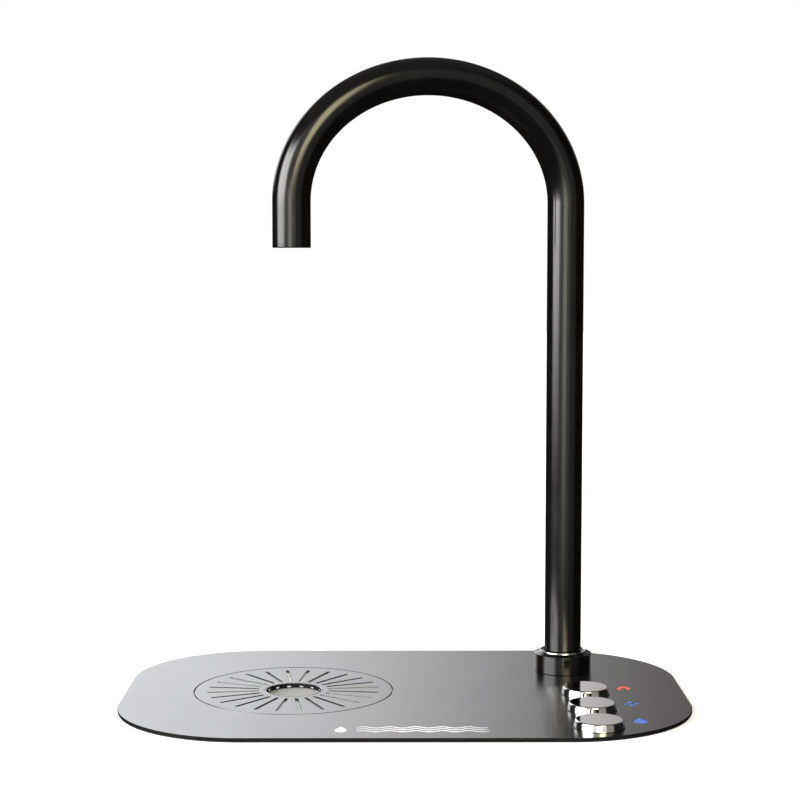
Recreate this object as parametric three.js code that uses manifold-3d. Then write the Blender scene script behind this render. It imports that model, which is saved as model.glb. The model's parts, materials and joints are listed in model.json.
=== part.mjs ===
// Deck-mounted water dispenser: a thin deck plate with a flush drip grate, a swivelling goose-neck
// spout fed by three hoses, and three push buttons with lit icons over a control housing.
// Millimetres, +Z up. The origin is the middle of the plate, on the face that lies on the worktop.
import * as THREE from 'three';
import { mergeVertices } from 'three/addons/utils/BufferGeometryUtils.js';
import Module from 'manifold-3d';

const wasm = await Module();
wasm.setup();

// ---- Driving dimensions -------------------------------------------------------------------------

const seat = 0.1; // gap between two pieces that lie on each other
const radialFit = 0.3; // gap around a piece that sits in or slides through a round hole
const joinDepth = 0.2; // overlap of two shapes that are joined into one piece
const cutOverrun = 2; // how far a cutting shape runs past the face that it opens

// Deck plate and its gasket
const plateWidth = 420;
const plateDepth = 277;
const plateCornerRadius = 96.5;
const plateThickness = 2.3;
const gasketThickness = 0.8;
const gasketInset = 0.6;

// Drip grate and its strainer cup
const grateX = -84;
const grateY = 1;
const grateRadius = 74.6;
const grateGap = 0.6;
const slotCount = 24;
const slotWidth = 2.2;
const slotInnerRadius = 26.5;
const slotRimMargin = 9.6; // from a slot's outer end to the grate's edge
const cupRadius = 21.6;
const cupDepth = 3.6;
const cupSheet = 0.8;
const cupWallHoleCount = 14;
const cupWallHoleWidth = 3.4;
const cupWallHoleHeight = 1.7;
const cupWallHoleRise = 1.3; // middle of a hole above the cup's floor

// Drip bowl and its drain
const bowlLedge = 3.6;
const bowlFlangeWidth = 9;
const bowlDepth = 30;
const bowlFillet = 18;
const bowlSheet = 1;
const bowlFloorFall = 3;
const drainSeatRadius = 21;
const drainBore = 8;
const drainWall = 2.2;
const drainTailLength = 40;
const drainFlangeRadius = 17;
const drainFlangeThickness = 1.6;
const drainFlangeChamfer = 1;
const drainWasherRim = 1;
const drainTailCone = 2;
const drainWasherThickness = 3;
const drainNutHeight = 9;
const drainNutAcrossCorners = 38;
const barbRoot = 0.4; // depth of a barb's foot below the tail's own surface
const barbHeight = 0.9;
const barbRise = 4;
const barbPitch = 5;
const barbCount = 3;

// Spout: a tube of two straight legs and a half-elliptical arch, turning about its column
const columnX = 125.5;
const columnY = 67.4;
const tubeRadius = 14.5;
const tubeWall = 1.5;
const springingHeight = 370.8;
const archRise = 95;
const outletHeight = 336.7;
const nozzleLength = 12;
const nozzleRecess = 0.8;
const swivelHalfAngle = 15;

// Hoses inside the spout, one for each kind of water
const hoseRadius = 3.175;
const hoseBore = 2;
const hosePitchRadius = 4.4;
const hoseRecess = 2;
const hoseTail = 26;

// Spout base: shank, collar, bush, thrust washer, stop pin and the fasteners under the worktop
const shankBore = 8.6;
const shankThreadRadius = 11;
const shankSpigotRadius = 10;
const shankSpigotHeight = 34;
const shankFlangeMargin = 3.5; // from the tube's surface to the shank's flange
const shankFlangeThickness = 2.9;
const shankTail = 62;
const threadLead = 1;
const collarMargin = 7.5; // from the tube's surface to the collar's
const collarWallHeight = 13.1;
const collarChamfer = 3.6;
const collarTopHeight = 16.6;
const trimRingOverhang = 0.6;
const trimRingEdge = 0.8;
const trimLipHeight = 0.9;
const trimLipWidth = 1.2;
const thrustWasherThickness = 1;
const thrustWasherRim = 1;
const bushSetback = 2;
const stopPinRadius = 0.9;
const stopPinHeight = 4.4;
const stopPinSeat = 2;
const worktopThickness = 30;
const rubberWasherRadius = 19;
const rubberWasherThickness = 3;
const steelWasherRadius = 18;
const steelWasherThickness = 1.6;
const shankNutHeight = 10;
const shankNutAcrossCorners = 36;

// Clamp studs that hold the plate down
const studRadius = 3;
const studLength = 52;
const studPlaces = { left: [-190, 1], front: [50, -98] };
const clampFlangeRadius = 12;
const clampFlangeThickness = 3;
const clampBodyRadius = 6.5;
const clampBodyHeight = 9;
const wingSpan = 32;
const wingThickness = 3;
const wingHeight = 12;

// Push buttons and lit icons, rear to front
const waterKinds = ['hot', 'sparkling', 'chilled'];
const buttonX = 135.5;
const frontButtonMargin = 11.8; // from the plate's front edge to the nearest cap
const capSpacing = 13.1; // between the sides of neighbouring caps
const capRadius = 17.7;
const capStandUp = 5.7;
const capTaper = 0.7;
const capBandHeight = 0.855; // straight part of the wall above the plate, before the taper
const capEdgeRadius = 1.2;
const capWall = 1.8;
const capSkirtDepth = 4.6;
const capGap = 0.4;
const buttonTravel = 2.5;
const bossRadius = 4.3;
const stemRadius = 3;
const stemNeckRadius = 2.3;
const stemNeckLength = 6;
const stemNeckRoom = 0.4; // gap between the neck and the cap's underside
const clipRadius = 5.6;
const clipThickness = 0.8;
const springRadius = 8;
const springWire = 0.55;
const springTurns = 4;
const sealWidth = 1.4;
const iconDistance = 12.8; // from a cap's side to the middle of its icon
const iconOffsetY = 18;
const iconGap = 0.15;
const lensFlangeRadius = 9;
const lensFlangeThickness = 0.6;
const lightGuideRadius = 3.5;

// Control housing under the buttons
const housingEdgeMargin = 4.5;
const housingWall = 1.8;
const housingRoof = 2.3;
const housingLeftMargin = 7.8; // from the caps' sides to the housing's
const housingRight = 183;
const housingRearMargin = 39; // from the rear button's middle to the housing's rear
const housingCornerRadius = 6;
const carrierDepth = 10;
const carrierThickness = 2;
const guideRadius = 5.5;
const guideRise = 3;
const guideDrop = 7;
const stemBelowClip = 3;
const switchSize = [9, 7, 5];
const switchGap = 0.4;
const boardThickness = 1.6;
const boardMargin = 1;
const boardFloorRoom = 6;
const coverThickness = 2;
const ledSize = [5, 5, 1.6];
const ledGap = 0.5;
const screwRadius = 1.5;
const screwHeadRadius = 2.9;
const screwHeadHeight = 1.6;
const screwHeadChamfer = 0.9;
const screwHeadEdge = 1;
const screwLength = 8;
const screwPilotSpare = 1;
const screwPostRadius = 3.6;
const screwInset = 8;
const rightScrewDrop = 4;
const leftScrewInset = 7;
const glandRadius = 7;
const glandBore = 3.2;
const glandRim = 2;
const glandRimHeight = 2;
const glandThreadLength = 11;
const glandNutRim = 3;
const glandNutDome = 4;
const glandNutLip = 1;
const glandNutFloor = 3;
const glandPlace = [160, -62];

// Facets
const fineFacets = 48;
const bowlFacets = 36;
const ringFacets = 28;
const buttonFacets = 20;
const tubeFacets = 18;
const archSteps = 20;
const hoseFacets = 6;
const hoseArchSteps = 12;
const smallFacets = 16;
const stemFacets = 12;
const screwFacets = 8;

// ---- Derived levels and places ------------------------------------------------------------------

const plateUnder = gasketThickness + seat;
const plateTop = plateUnder + plateThickness;
const worktopUnder = -worktopThickness;
const slotOuterRadius = grateRadius - slotRimMargin;
const bowlRadius = grateRadius - bowlLedge;
const bowlFlangeRadius = bowlRadius + bowlFlangeWidth;
const bowlFloor = gasketThickness - bowlDepth - bowlFloorFall;
const shankFlangeTop = plateTop + seat + shankFlangeThickness;
const tubeBottom = shankFlangeTop + thrustWasherThickness + 2 * seat;
const stopPinPitch = tubeRadius - tubeWall / 2;
const collarRadius = tubeRadius + collarMargin;
const shankFlangeRadius = tubeRadius + shankFlangeMargin;
const collarTop = plateTop + seat + collarTopHeight;
const reachX = columnX - grateX;
const reachY = columnY - grateY;
const halfReach = Math.hypot(reachX, reachY) / 2;
const buttonPitch = 2 * capRadius + capSpacing;
const frontButtonY = frontButtonMargin + capRadius - plateDepth / 2;
const rearButtonY = frontButtonY + (waterKinds.length - 1) * buttonPitch;
const buttonYs = waterKinds.map((kind, i) => rearButtonY - i * buttonPitch);
const iconX = buttonX + capRadius + iconDistance;
const housingLeft = buttonX - capRadius - housingLeftMargin;
const housingRear = rearButtonY + housingRearMargin;
const capTop = plateTop + capStandUp;
const capUnder = capTop - capWall;
const capSkirtEnd = plateTop - capSkirtDepth;
const housingTop = plateUnder - seat;
const roofUnder = housingTop - housingRoof;
const carrierTop = housingTop - carrierDepth + carrierThickness;
const carrierUnder = carrierTop - carrierThickness;
const guideTop = carrierTop + guideRise;
const guideEnd = carrierUnder - guideDrop;
const clipTop = guideEnd - seat;
const stemEnd = clipTop - clipThickness - stemBelowClip;
const switchTop = stemEnd - buttonTravel - switchGap;
const boardTop = switchTop - switchSize[2] - seat;
const boardUnder = boardTop - boardThickness;
const housingEnd = boardUnder - boardFloorRoom;
const coverTop = housingEnd - seat;
const coverUnder = coverTop - coverThickness;
const lensUnder = plateUnder - seat - lensFlangeThickness;
const guideBottom = boardTop + seat + ledSize[2] + ledGap;
const screwPlaces = [
  [housingLeft + screwInset, housingRear - screwInset],
  [housingRight - screwInset, housingRear - screwInset],
  [housingRight - screwInset, buttonYs[1] - rightScrewDrop],
  [housingLeft + leftScrewInset, (buttonYs[1] + buttonYs[2]) / 2],
];

// ---- Geometry helpers ---------------------------------------------------------------------------

const v2 = (x, y) => new THREE.Vector2(x, y);

function toSolid(geometry) {
  const bare = geometry.clone();
  bare.deleteAttribute('normal');
  bare.deleteAttribute('uv');
  const merged = mergeVertices(bare, 1e-4);
  const vertProperties = new Float32Array(merged.attributes.position.array);
  const triVerts = new Uint32Array(merged.index.array);
  return new wasm.Manifold(new wasm.Mesh({ numProp: 3, vertProperties, triVerts }));
}

function toGeometry(solid) {
  const mesh = solid.getMesh();
  const geometry = new THREE.BufferGeometry();
  geometry.setAttribute('position', new THREE.BufferAttribute(mesh.vertProperties, 3));
  geometry.setIndex(new THREE.BufferAttribute(mesh.triVerts, 1));
  geometry.computeVertexNormals();
  return geometry;
}

function cut(base, ...tools) {
  const result = tools.reduce((solid, tool) => solid.subtract(toSolid(tool)), toSolid(base));
  return toGeometry(result);
}

function join(base, ...others) {
  const result = others.reduce((solid, other) => solid.add(toSolid(other)), toSolid(base));
  return toGeometry(result);
}

// A flat shape raised from one height to another.
function prism(shape, low, high, curveSegments = 12) {
  const options = { depth: high - low, bevelEnabled: false, curveSegments };
  return new THREE.ExtrudeGeometry(shape, options).translate(0, 0, low);
}

// A turned piece: [radius, height] points, counter-clockwise from the bottom of the outside.
function turned(points, facets = smallFacets) {
  const profile = points.map(([r, z]) => v2(r, z));
  return new THREE.LatheGeometry(profile, facets).rotateX(Math.PI / 2);
}

// A turned ring or sleeve of one wall thickness.
function sleeve(inner, outer, low, high, facets = smallFacets) {
  return turned([[inner, low], [outer, low], [outer, high], [inner, high], [inner, low]], facets);
}

function rod(radius, low, high, facets = smallFacets) {
  return turned([[0, low], [radius, low], [radius, high], [0, high]], facets);
}

function box(size, x, y, low) {
  return new THREE.BoxGeometry(...size).translate(x, y, low + size[2] / 2);
}

function circle(x, y, radius, facets = smallFacets) {
  const points = [];
  for (let i = 0; i < facets; i += 1) {
    const angle = (i / facets) * 2 * Math.PI;
    points.push(v2(x + radius * Math.cos(angle), y + radius * Math.sin(angle)));
  }
  return points;
}

function shapeOf(outline, holes = []) {
  const shape = new THREE.Shape(outline);
  holes.forEach((hole) => shape.holes.push(new THREE.Path(hole)));
  return shape;
}

// The deck's outline: a rectangle with large round corners, drawn in by an inset.
function deckOutline(inset) {
  const radius = plateCornerRadius - inset;
  const cornerX = plateWidth / 2 - plateCornerRadius;
  const cornerY = plateDepth / 2 - plateCornerRadius;
  const shape = new THREE.Shape();
  shape.absarc(cornerX, cornerY, radius, 0, Math.PI / 2, false);
  shape.absarc(-cornerX, cornerY, radius, Math.PI / 2, Math.PI, false);
  shape.absarc(-cornerX, -cornerY, radius, Math.PI, 1.5 * Math.PI, false);
  shape.absarc(cornerX, -cornerY, radius, 1.5 * Math.PI, 2 * Math.PI, false);
  return shape.getPoints(12);
}

// The control housing's outline: its front corner runs parallel to the deck's front right corner.
function housingOutline(inset) {
  const cornerX = plateWidth / 2 - plateCornerRadius;
  const cornerY = plateCornerRadius - plateDepth / 2;
  const radius = plateCornerRadius - housingEdgeMargin - inset;
  const left = housingLeft + inset;
  const right = housingRight - inset;
  const rear = housingRear - inset;
  const small = housingCornerRadius - inset;
  const startAngle = -Math.acos((left - cornerX) / radius);
  const endAngle = -Math.acos((right - cornerX) / radius);
  const shape = new THREE.Shape();
  shape.absarc(cornerX, cornerY, radius, startAngle, endAngle, false);
  shape.absarc(right - small, rear - small, small, 0, Math.PI / 2, false);
  shape.absarc(left + small, rear - small, small, Math.PI / 2, Math.PI, false);
  return shape.getPoints(6);
}

// The centre line of the goose-neck, or of a hose that runs beside it. The offsets are measured in
// the arch's own plane, towards its outside, and square to that plane.
class GooseNeck extends THREE.Curve {
  constructor(columnEnd, outletEnd, outward, sideways, stepsInArch) {
    super();
    this.columnEnd = columnEnd;
    this.outletEnd = outletEnd;
    this.outward = outward;
    this.sideways = sideways;
    this.steps = stepsInArch + 2;
  }

  getPoint(t, target = new THREE.Vector3()) {
    const step = t * this.steps;
    const lastArchStep = this.steps - 1;
    const turn = THREE.MathUtils.clamp((step - 1) / (lastArchStep - 1), 0, 1) * Math.PI;
    const along = halfReach * Math.cos(turn);
    const rise = archRise * Math.sin(turn);
    const normal = v2(archRise * Math.cos(turn), halfReach * Math.sin(turn)).normalize();
    let z = springingHeight + rise + this.outward * normal.y;
    if (step < 1) z = this.columnEnd + (springingHeight - this.columnEnd) * step;
    if (step > lastArchStep) {
      z = springingHeight + (this.outletEnd - springingHeight) * (step - lastArchStep);
    }
    const reach = (along + this.outward * normal.x) / (2 * halfReach);
    const sideX = (-reachY * this.sideways) / (2 * halfReach);
    const sideY = (reachX * this.sideways) / (2 * halfReach);
    const midX = (columnX + grateX) / 2;
    const midY = (columnY + grateY) / 2;
    return target.set(midX + reachX * reach + sideX, midY + reachY * reach + sideY, z);
  }

  getUtoTmapping(u) {
    return u;
  }
}

function bentTube(outer, inner, facets, path) {
  const section = shapeOf(circle(0, 0, outer, facets), [circle(0, 0, inner, facets)]);
  const options = { extrudePath: path, steps: path.steps, curveSegments: 1 };
  return new THREE.ExtrudeGeometry(section, options);
}

// ---- The group and its materials ----------------------------------------------------------------

const dispenser = new THREE.Group();
dispenser.name = 'water_dispenser';

const finishes = {
  deck: [0x55544f, 0.3, 1],
  gasket: [0x0c0c0c, 0.8, 0],
  steel: [0xb9bab8, 0.25, 1],
  spout: [0x0b0a09, 0.25, 0.2],
  chrome: [0xdadbd8, 0.06, 1],
  black: [0x151515, 0.5, 0],
  rubber: [0x1c1c1b, 0.85, 0],
  acetal: [0xe8e6df, 0.4, 0],
  brass: [0xb5945a, 0.35, 1],
  board: [0x1d5a36, 0.55, 0],
  red: [0xff4a36, 0.3, 0],
  blue: [0x3f7dff, 0.3, 0],
  hose: [0xf0f0ea, 0.4, 0],
};

function add(name, geometry, finish) {
  const [color, roughness, metalness] = finishes[finish];
  const material = new THREE.MeshStandardMaterial({ color, roughness, metalness });
  const mesh = new THREE.Mesh(geometry, material);
  mesh.name = name;
  dispenser.add(mesh);
  return mesh;
}

// ---- Icons --------------------------------------------------------------------------------------

// A flame drawn as a bold horseshoe, open at its foot.
function flameOutline() {
  const shape = new THREE.Shape();
  shape.moveTo(-1.5, -7);
  shape.bezierCurveTo(-6.2, -5.6, -6.2, -0.6, -3.6, 2.2);
  shape.bezierCurveTo(-2, 4, -1.2, 5.4, -0.8, 7.4);
  shape.bezierCurveTo(2.2, 5.4, 6.8, 0.4, 4.6, -4.2);
  shape.bezierCurveTo(3.9, -5.8, 2.9, -6.6, 1.5, -7);
  shape.bezierCurveTo(3.2, -3.6, 1.8, -1.2, 0.2, 1.2);
  shape.bezierCurveTo(-1.8, -1, -2.8, -3.4, -1.5, -7);
  return [shape.getPoints(4).slice(0, -1)];
}

// Bubbles of several sizes.
function bubbleOutlines() {
  const bubbles = [[-3.9, -1.6, 1.6], [-0.4, 4.4, 2.2], [0.2, -3.9, 2.1], [4, 0.4, 1.7]];
  return bubbles.map(([x, y, radius]) => circle(x, y, radius, 8));
}

// A drop of water.
function dropOutline() {
  const shape = new THREE.Shape();
  shape.moveTo(0, 8);
  shape.bezierCurveTo(-1.4, 4.2, -4.9, 0.6, -4.9, -3);
  shape.bezierCurveTo(-4.9, -5.8, -2.7, -8, 0, -8);
  shape.bezierCurveTo(2.7, -8, 4.9, -5.8, 4.9, -3);
  shape.bezierCurveTo(4.9, 0.6, 1.4, 4.2, 0, 8);
  return [shape.getPoints(4).slice(0, -1)];
}

const iconOutlines = { hot: flameOutline(), sparkling: bubbleOutlines(), chilled: dropOutline() };

function iconAt(kind, y) {
  return iconOutlines[kind].map((outline) => outline.map((p) => v2(p.x + iconX, p.y + y)));
}

// An icon's outline drawn in towards its own middle line, so that it clears its window.
function drawnIn(outline, inset) {
  const count = outline.length;
  const turn = THREE.ShapeUtils.isClockWise(outline) ? -1 : 1;
  return outline.map((point, i) => {
    const before = outline[(i + count - 1) % count];
    const after = outline[(i + 1) % count];
    const along = v2(after.x - before.x, after.y - before.y).normalize();
    return v2(point.x - turn * along.y * inset, point.y + turn * along.x * inset);
  });
}

// ---- Deck plate and gasket ----------------------------------------------------------------------

function addDeck() {
  const holes = [
    circle(grateX, grateY, grateRadius + grateGap, fineFacets),
    circle(columnX, columnY, shankThreadRadius + radialFit),
  ];
  waterKinds.forEach((kind, i) => {
    holes.push(circle(buttonX, buttonYs[i], capRadius + capGap, buttonFacets));
    holes.push(...iconAt(kind, buttonYs[i] + iconOffsetY));
  });
  add('deck_plate', prism(shapeOf(deckOutline(0), holes), plateUnder, plateTop), 'deck');

  const gasketHoles = [
    circle(grateX, grateY, bowlFlangeRadius + radialFit, fineFacets),
    circle(columnX, columnY, shankThreadRadius + radialFit),
    housingOutline(-radialFit),
  ];
  Object.values(studPlaces).forEach(([x, y]) => {
    gasketHoles.push(circle(x, y, studRadius + radialFit, screwFacets));
  });
  const gasket = prism(shapeOf(deckOutline(gasketInset), gasketHoles), 0, gasketThickness);
  add('deck_gasket', gasket, 'gasket');
}

// ---- Drip grate, strainer cup, bowl and drain ---------------------------------------------------

// One radial slot with round ends, lying at an angle about the grate's centre.
function slotOutline(angle) {
  const half = slotWidth / 2;
  const slot = new THREE.Shape();
  slot.absarc(slotOuterRadius - half, 0, half, -Math.PI / 2, Math.PI / 2, false);
  slot.absarc(slotInnerRadius + half, 0, half, Math.PI / 2, 1.5 * Math.PI, false);
  const centre = v2(0, 0);
  return slot.getPoints(2).map((p) => p.rotateAround(centre, angle));
}

function addGrate() {
  const low = plateUnder;
  const slots = [circle(0, 0, cupRadius + seat, ringFacets)];
  for (let i = 0; i < slotCount; i += 1) {
    slots.push(slotOutline(((i + 0.5) / slotCount) * 2 * Math.PI));
  }
  const plate = prism(shapeOf(circle(0, 0, grateRadius, fineFacets), slots), low, plateTop);
  add('grate_plate', plate, 'deck').position.set(grateX, grateY, 0);

  const floorTop = plateTop - cupDepth;
  const outer = circle(0, 0, cupRadius, ringFacets);
  const inner = circle(0, 0, cupRadius - cupSheet, ringFacets);
  const floor = prism(shapeOf(outer), floorTop - cupSheet, floorTop);
  const wall = prism(shapeOf(outer, [inner]), floorTop - cupSheet / 2, plateTop);
  const windows = [];
  for (let i = 0; i < cupWallHoleCount; i += 1) {
    const oval = new THREE.CylinderGeometry(0.5, 0.5, cupSheet + 2 * cutOverrun, 6);
    oval.scale(cupWallHoleWidth, 1, cupWallHoleHeight);
    oval.translate(0, cupRadius - cupSheet / 2, floorTop + cupWallHoleRise);
    oval.rotateZ(((i + 0.5) / cupWallHoleCount) * 2 * Math.PI);
    windows.push(oval);
  }
  add('grate_cup', cut(join(floor, wall), ...windows), 'steel').position.set(grateX, grateY, 0);
}

// The bowl's inside from its rim to its drain hole, offset outwards and down by the sheet.
function bowlProfile(offset) {
  const wallFoot = gasketThickness - bowlDepth;
  const points = [];
  const arcSteps = 3;
  for (let i = 0; i <= arcSteps; i += 1) {
    const angle = (i / arcSteps) * (Math.PI / 2);
    const radius = bowlRadius - bowlFillet + (bowlFillet + offset) * Math.cos(angle);
    const z = wallFoot + bowlFillet - (bowlFillet + offset) * Math.sin(angle);
    points.push([radius, z]);
  }
  points.push([drainSeatRadius, bowlFloor - offset]);
  points.push([drainBore + drainWall + radialFit, bowlFloor - offset]);
  return points;
}

function addBowl() {
  const inside = bowlProfile(0);
  const outside = bowlProfile(bowlSheet);
  const rim = [
    [bowlRadius + bowlSheet, 0],
    [bowlFlangeRadius, 0],
    [bowlFlangeRadius, gasketThickness],
    [bowlRadius, gasketThickness],
  ];
  const profile = [...outside.reverse(), ...rim, ...inside, outside[0]];
  add('drip_bowl', turned(profile, bowlFacets), 'acetal').position.set(grateX, grateY, 0);

  const tailRadius = drainBore + drainWall;
  const barbFoot = tailRadius - barbRoot;
  const flangeLow = bowlFloor + seat;
  const tailEnd = bowlFloor - drainTailLength;
  const tail = [[drainBore, tailEnd]];
  for (let i = 0; i < barbCount; i += 1) {
    tail.push([barbFoot, tailEnd + i * barbPitch]);
    tail.push([barbFoot + barbHeight, tailEnd + i * barbPitch + barbRise]);
  }
  tail.push([barbFoot, tailEnd + barbCount * barbPitch]);
  tail.push([tailRadius, tailEnd + barbCount * barbPitch + drainTailCone]);
  tail.push([tailRadius, flangeLow]);
  tail.push([drainFlangeRadius, flangeLow]);
  tail.push([drainFlangeRadius - drainFlangeChamfer, flangeLow + drainFlangeThickness]);
  tail.push([drainBore, flangeLow + drainFlangeThickness]);
  tail.push([drainBore, tailEnd]);
  add('drain_spigot', turned(tail), 'steel').position.set(grateX, grateY, 0);

  const hole = tailRadius + radialFit;
  const washerTop = bowlFloor - bowlSheet - seat;
  const washerRadius = drainFlangeRadius + drainWasherRim;
  const washer = sleeve(hole, washerRadius, washerTop - drainWasherThickness, washerTop);
  add('drain_washer', washer, 'rubber').position.set(grateX, grateY, 0);
  const nutTop = washerTop - drainWasherThickness - seat;
  const nut = hexNut(drainNutAcrossCorners, hole, nutTop - drainNutHeight, nutTop);
  add('drain_nut', nut, 'black').position.set(grateX, grateY, 0);
}

function hexNut(acrossCorners, holeRadius, low, high) {
  const outline = circle(0, 0, acrossCorners / 2, 6);
  return prism(shapeOf(outline, [circle(0, 0, holeRadius)]), low, high);
}

// ---- Spout and its hoses ------------------------------------------------------------------------

function hosePlaces() {
  return waterKinds.map((kind, i) => {
    const angle = (i / waterKinds.length) * 2 * Math.PI;
    const outward = hosePitchRadius * Math.cos(angle);
    const sideways = hosePitchRadius * Math.sin(angle);
    return { kind, outward, sideways };
  });
}

// Where a hose crosses the level of the outlet, about the outlet's centre.
function atOutlet({ outward, sideways }) {
  const x = (-outward * reachX - sideways * reachY) / (2 * halfReach);
  const y = (-outward * reachY + sideways * reachX) / (2 * halfReach);
  return [x, y];
}

function addSpout() {
  const path = new GooseNeck(tubeBottom, outletHeight, 0, 0, archSteps);
  const tube = bentTube(tubeRadius, tubeRadius - tubeWall, tubeFacets, path);
  const pinHalfAngle = Math.asin((stopPinRadius + radialFit) / stopPinPitch);
  const sweep = THREE.MathUtils.degToRad(swivelHalfAngle) + pinHalfAngle;
  const notch = new THREE.Shape();
  notch.absarc(0, 0, tubeRadius + cutOverrun, Math.PI / 2 - sweep, Math.PI / 2 + sweep, false);
  notch.absarc(0, 0, tubeRadius - tubeWall - cutOverrun, Math.PI / 2 + sweep, Math.PI / 2 - sweep, true);
  const notchTop = shankFlangeTop + stopPinHeight + radialFit;
  const cutter = prism(shapeOf(notch.getPoints(6)), tubeBottom - cutOverrun, notchTop);
  add('spout_tube', cut(tube, cutter.translate(columnX, columnY, 0)), 'spout');

  const nozzleLow = outletHeight + nozzleRecess;
  const nozzleRadius = tubeRadius - tubeWall - radialFit;
  const outlets = hosePlaces().map((place) => {
    return circle(...atOutlet(place), hoseRadius + radialFit, stemFacets);
  });
  const disc = shapeOf(circle(0, 0, nozzleRadius), outlets);
  const nozzle = prism(disc, nozzleLow, nozzleLow + nozzleLength);
  add('spout_nozzle', nozzle, 'black').position.set(grateX, grateY, 0);

  hosePlaces().forEach(({ kind, outward, sideways }) => {
    const tailEnd = -shankTail - hoseTail;
    const hoseEnd = nozzleLow + hoseRecess;
    const route = new GooseNeck(tailEnd, hoseEnd, outward, sideways, hoseArchSteps);
    add(`hose_${kind}`, bentTube(hoseRadius, hoseBore, hoseFacets, route), 'hose');
  });
}

// ---- Spout base ---------------------------------------------------------------------------------

function addSpoutBase() {
  const place = (mesh) => mesh.position.set(columnX, columnY, 0);
  const flangeLow = plateTop + seat;
  const shank = turned([
    [shankBore, -shankTail],
    [shankThreadRadius - threadLead, -shankTail],
    [shankThreadRadius, threadLead - shankTail],
    [shankThreadRadius, flangeLow],
    [shankFlangeRadius, flangeLow],
    [shankFlangeRadius, shankFlangeTop],
    [shankSpigotRadius, shankFlangeTop],
    [shankSpigotRadius, shankFlangeTop + shankSpigotHeight],
    [shankBore, shankFlangeTop + shankSpigotHeight],
    [shankBore, -shankTail],
  ]);
  const pinFoot = shankFlangeTop - stopPinSeat;
  const pinHole = rod(stopPinRadius + seat, pinFoot, shankFlangeTop + cutOverrun, screwFacets);
  pinHole.translate(0, stopPinPitch, 0);
  place(add('spout_shank', cut(shank, pinHole), 'brass'));

  const pin = rod(stopPinRadius, pinFoot + seat, shankFlangeTop + stopPinHeight, screwFacets);
  place(add('swivel_stop_pin', pin.translate(0, stopPinPitch, 0), 'steel'));

  const washerLow = shankFlangeTop + seat;
  const washerHoles = [
    circle(0, 0, shankSpigotRadius + radialFit),
    circle(0, stopPinPitch, stopPinRadius + seat, screwFacets),
  ];
  const washerRadius = stopPinPitch + stopPinRadius + thrustWasherRim;
  const washer = shapeOf(circle(0, 0, washerRadius), washerHoles);
  const thrust = prism(washer, washerLow, washerLow + thrustWasherThickness);
  place(add('thrust_washer', thrust, 'acetal'));

  const bushInner = shankSpigotRadius + seat;
  const bushOuter = tubeRadius - tubeWall - radialFit;
  const bushLow = tubeBottom + seat;
  const bushTop = shankFlangeTop + shankSpigotHeight - bushSetback;
  place(add('swivel_bush', sleeve(bushInner, bushOuter, bushLow, bushTop), 'acetal'));

  const collarBore = tubeRadius + 2 * radialFit;
  const skirtBore = shankFlangeRadius + radialFit;
  const skirtRoof = washerLow + thrustWasherThickness + radialFit;
  const wallTop = flangeLow + collarWallHeight;
  const collar = turned([
    [skirtBore, flangeLow],
    [collarRadius, flangeLow],
    [collarRadius, wallTop],
    [collarBore, wallTop],
    [collarBore, skirtRoof],
    [skirtBore, skirtRoof],
    [skirtBore, flangeLow],
  ], ringFacets);
  place(add('spout_collar', collar, 'spout'));

  const ringLow = wallTop + seat;
  const ringRadius = collarRadius + trimRingOverhang;
  const rimRadius = collarRadius - collarChamfer;
  const ring = turned([
    [collarBore, ringLow],
    [ringRadius, ringLow],
    [ringRadius, ringLow + trimRingEdge],
    [rimRadius, collarTop - trimLipHeight],
    [rimRadius, collarTop],
    [rimRadius - trimLipWidth, collarTop],
    [rimRadius - trimLipWidth, collarTop - trimLipHeight],
    [collarBore, collarTop - trimLipHeight],
    [collarBore, ringLow],
  ], ringFacets);
  place(add('collar_trim_ring', ring, 'chrome'));

  const hole = shankThreadRadius + radialFit;
  const rubberTop = worktopUnder - seat;
  const rubberLow = rubberTop - rubberWasherThickness;
  place(add('shank_rubber_washer', sleeve(hole, rubberWasherRadius, rubberLow, rubberTop), 'rubber'));
  const steelTop = rubberLow - seat;
  const steelLow = steelTop - steelWasherThickness;
  place(add('shank_steel_washer', sleeve(hole, steelWasherRadius, steelLow, steelTop), 'steel'));
  const nutTop = steelLow - seat;
  const nut = hexNut(shankNutAcrossCorners, hole, nutTop - shankNutHeight, nutTop);
  place(add('shank_nut', nut, 'brass'));
}

// ---- Clamp studs --------------------------------------------------------------------------------

function addClamps() {
  const flangeTop = worktopUnder - seat;
  const flangeLow = flangeTop - clampFlangeThickness;
  const bodyLow = flangeLow - clampBodyHeight;
  Object.entries(studPlaces).forEach(([name, [x, y]]) => {
    const top = plateUnder - seat;
    const stud = rod(studRadius, top - studLength, top, screwFacets);
    add(`clamp_stud_${name}`, stud, 'steel').position.set(x, y, 0);
    const body = turned([
      [0, bodyLow],
      [clampBodyRadius, bodyLow],
      [clampBodyRadius, flangeLow],
      [clampFlangeRadius, flangeLow],
      [clampFlangeRadius, flangeTop],
      [0, flangeTop],
    ]);
    const wings = box([wingSpan, wingThickness, wingHeight], 0, 0, bodyLow);
    const hole = rod(studRadius + radialFit, bodyLow - cutOverrun, flangeTop + cutOverrun, screwFacets);
    add(`clamp_nut_${name}`, cut(join(body, wings), hole), 'black').position.set(x, y, 0);
  });
}

// ---- Push buttons -------------------------------------------------------------------------------

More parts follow.
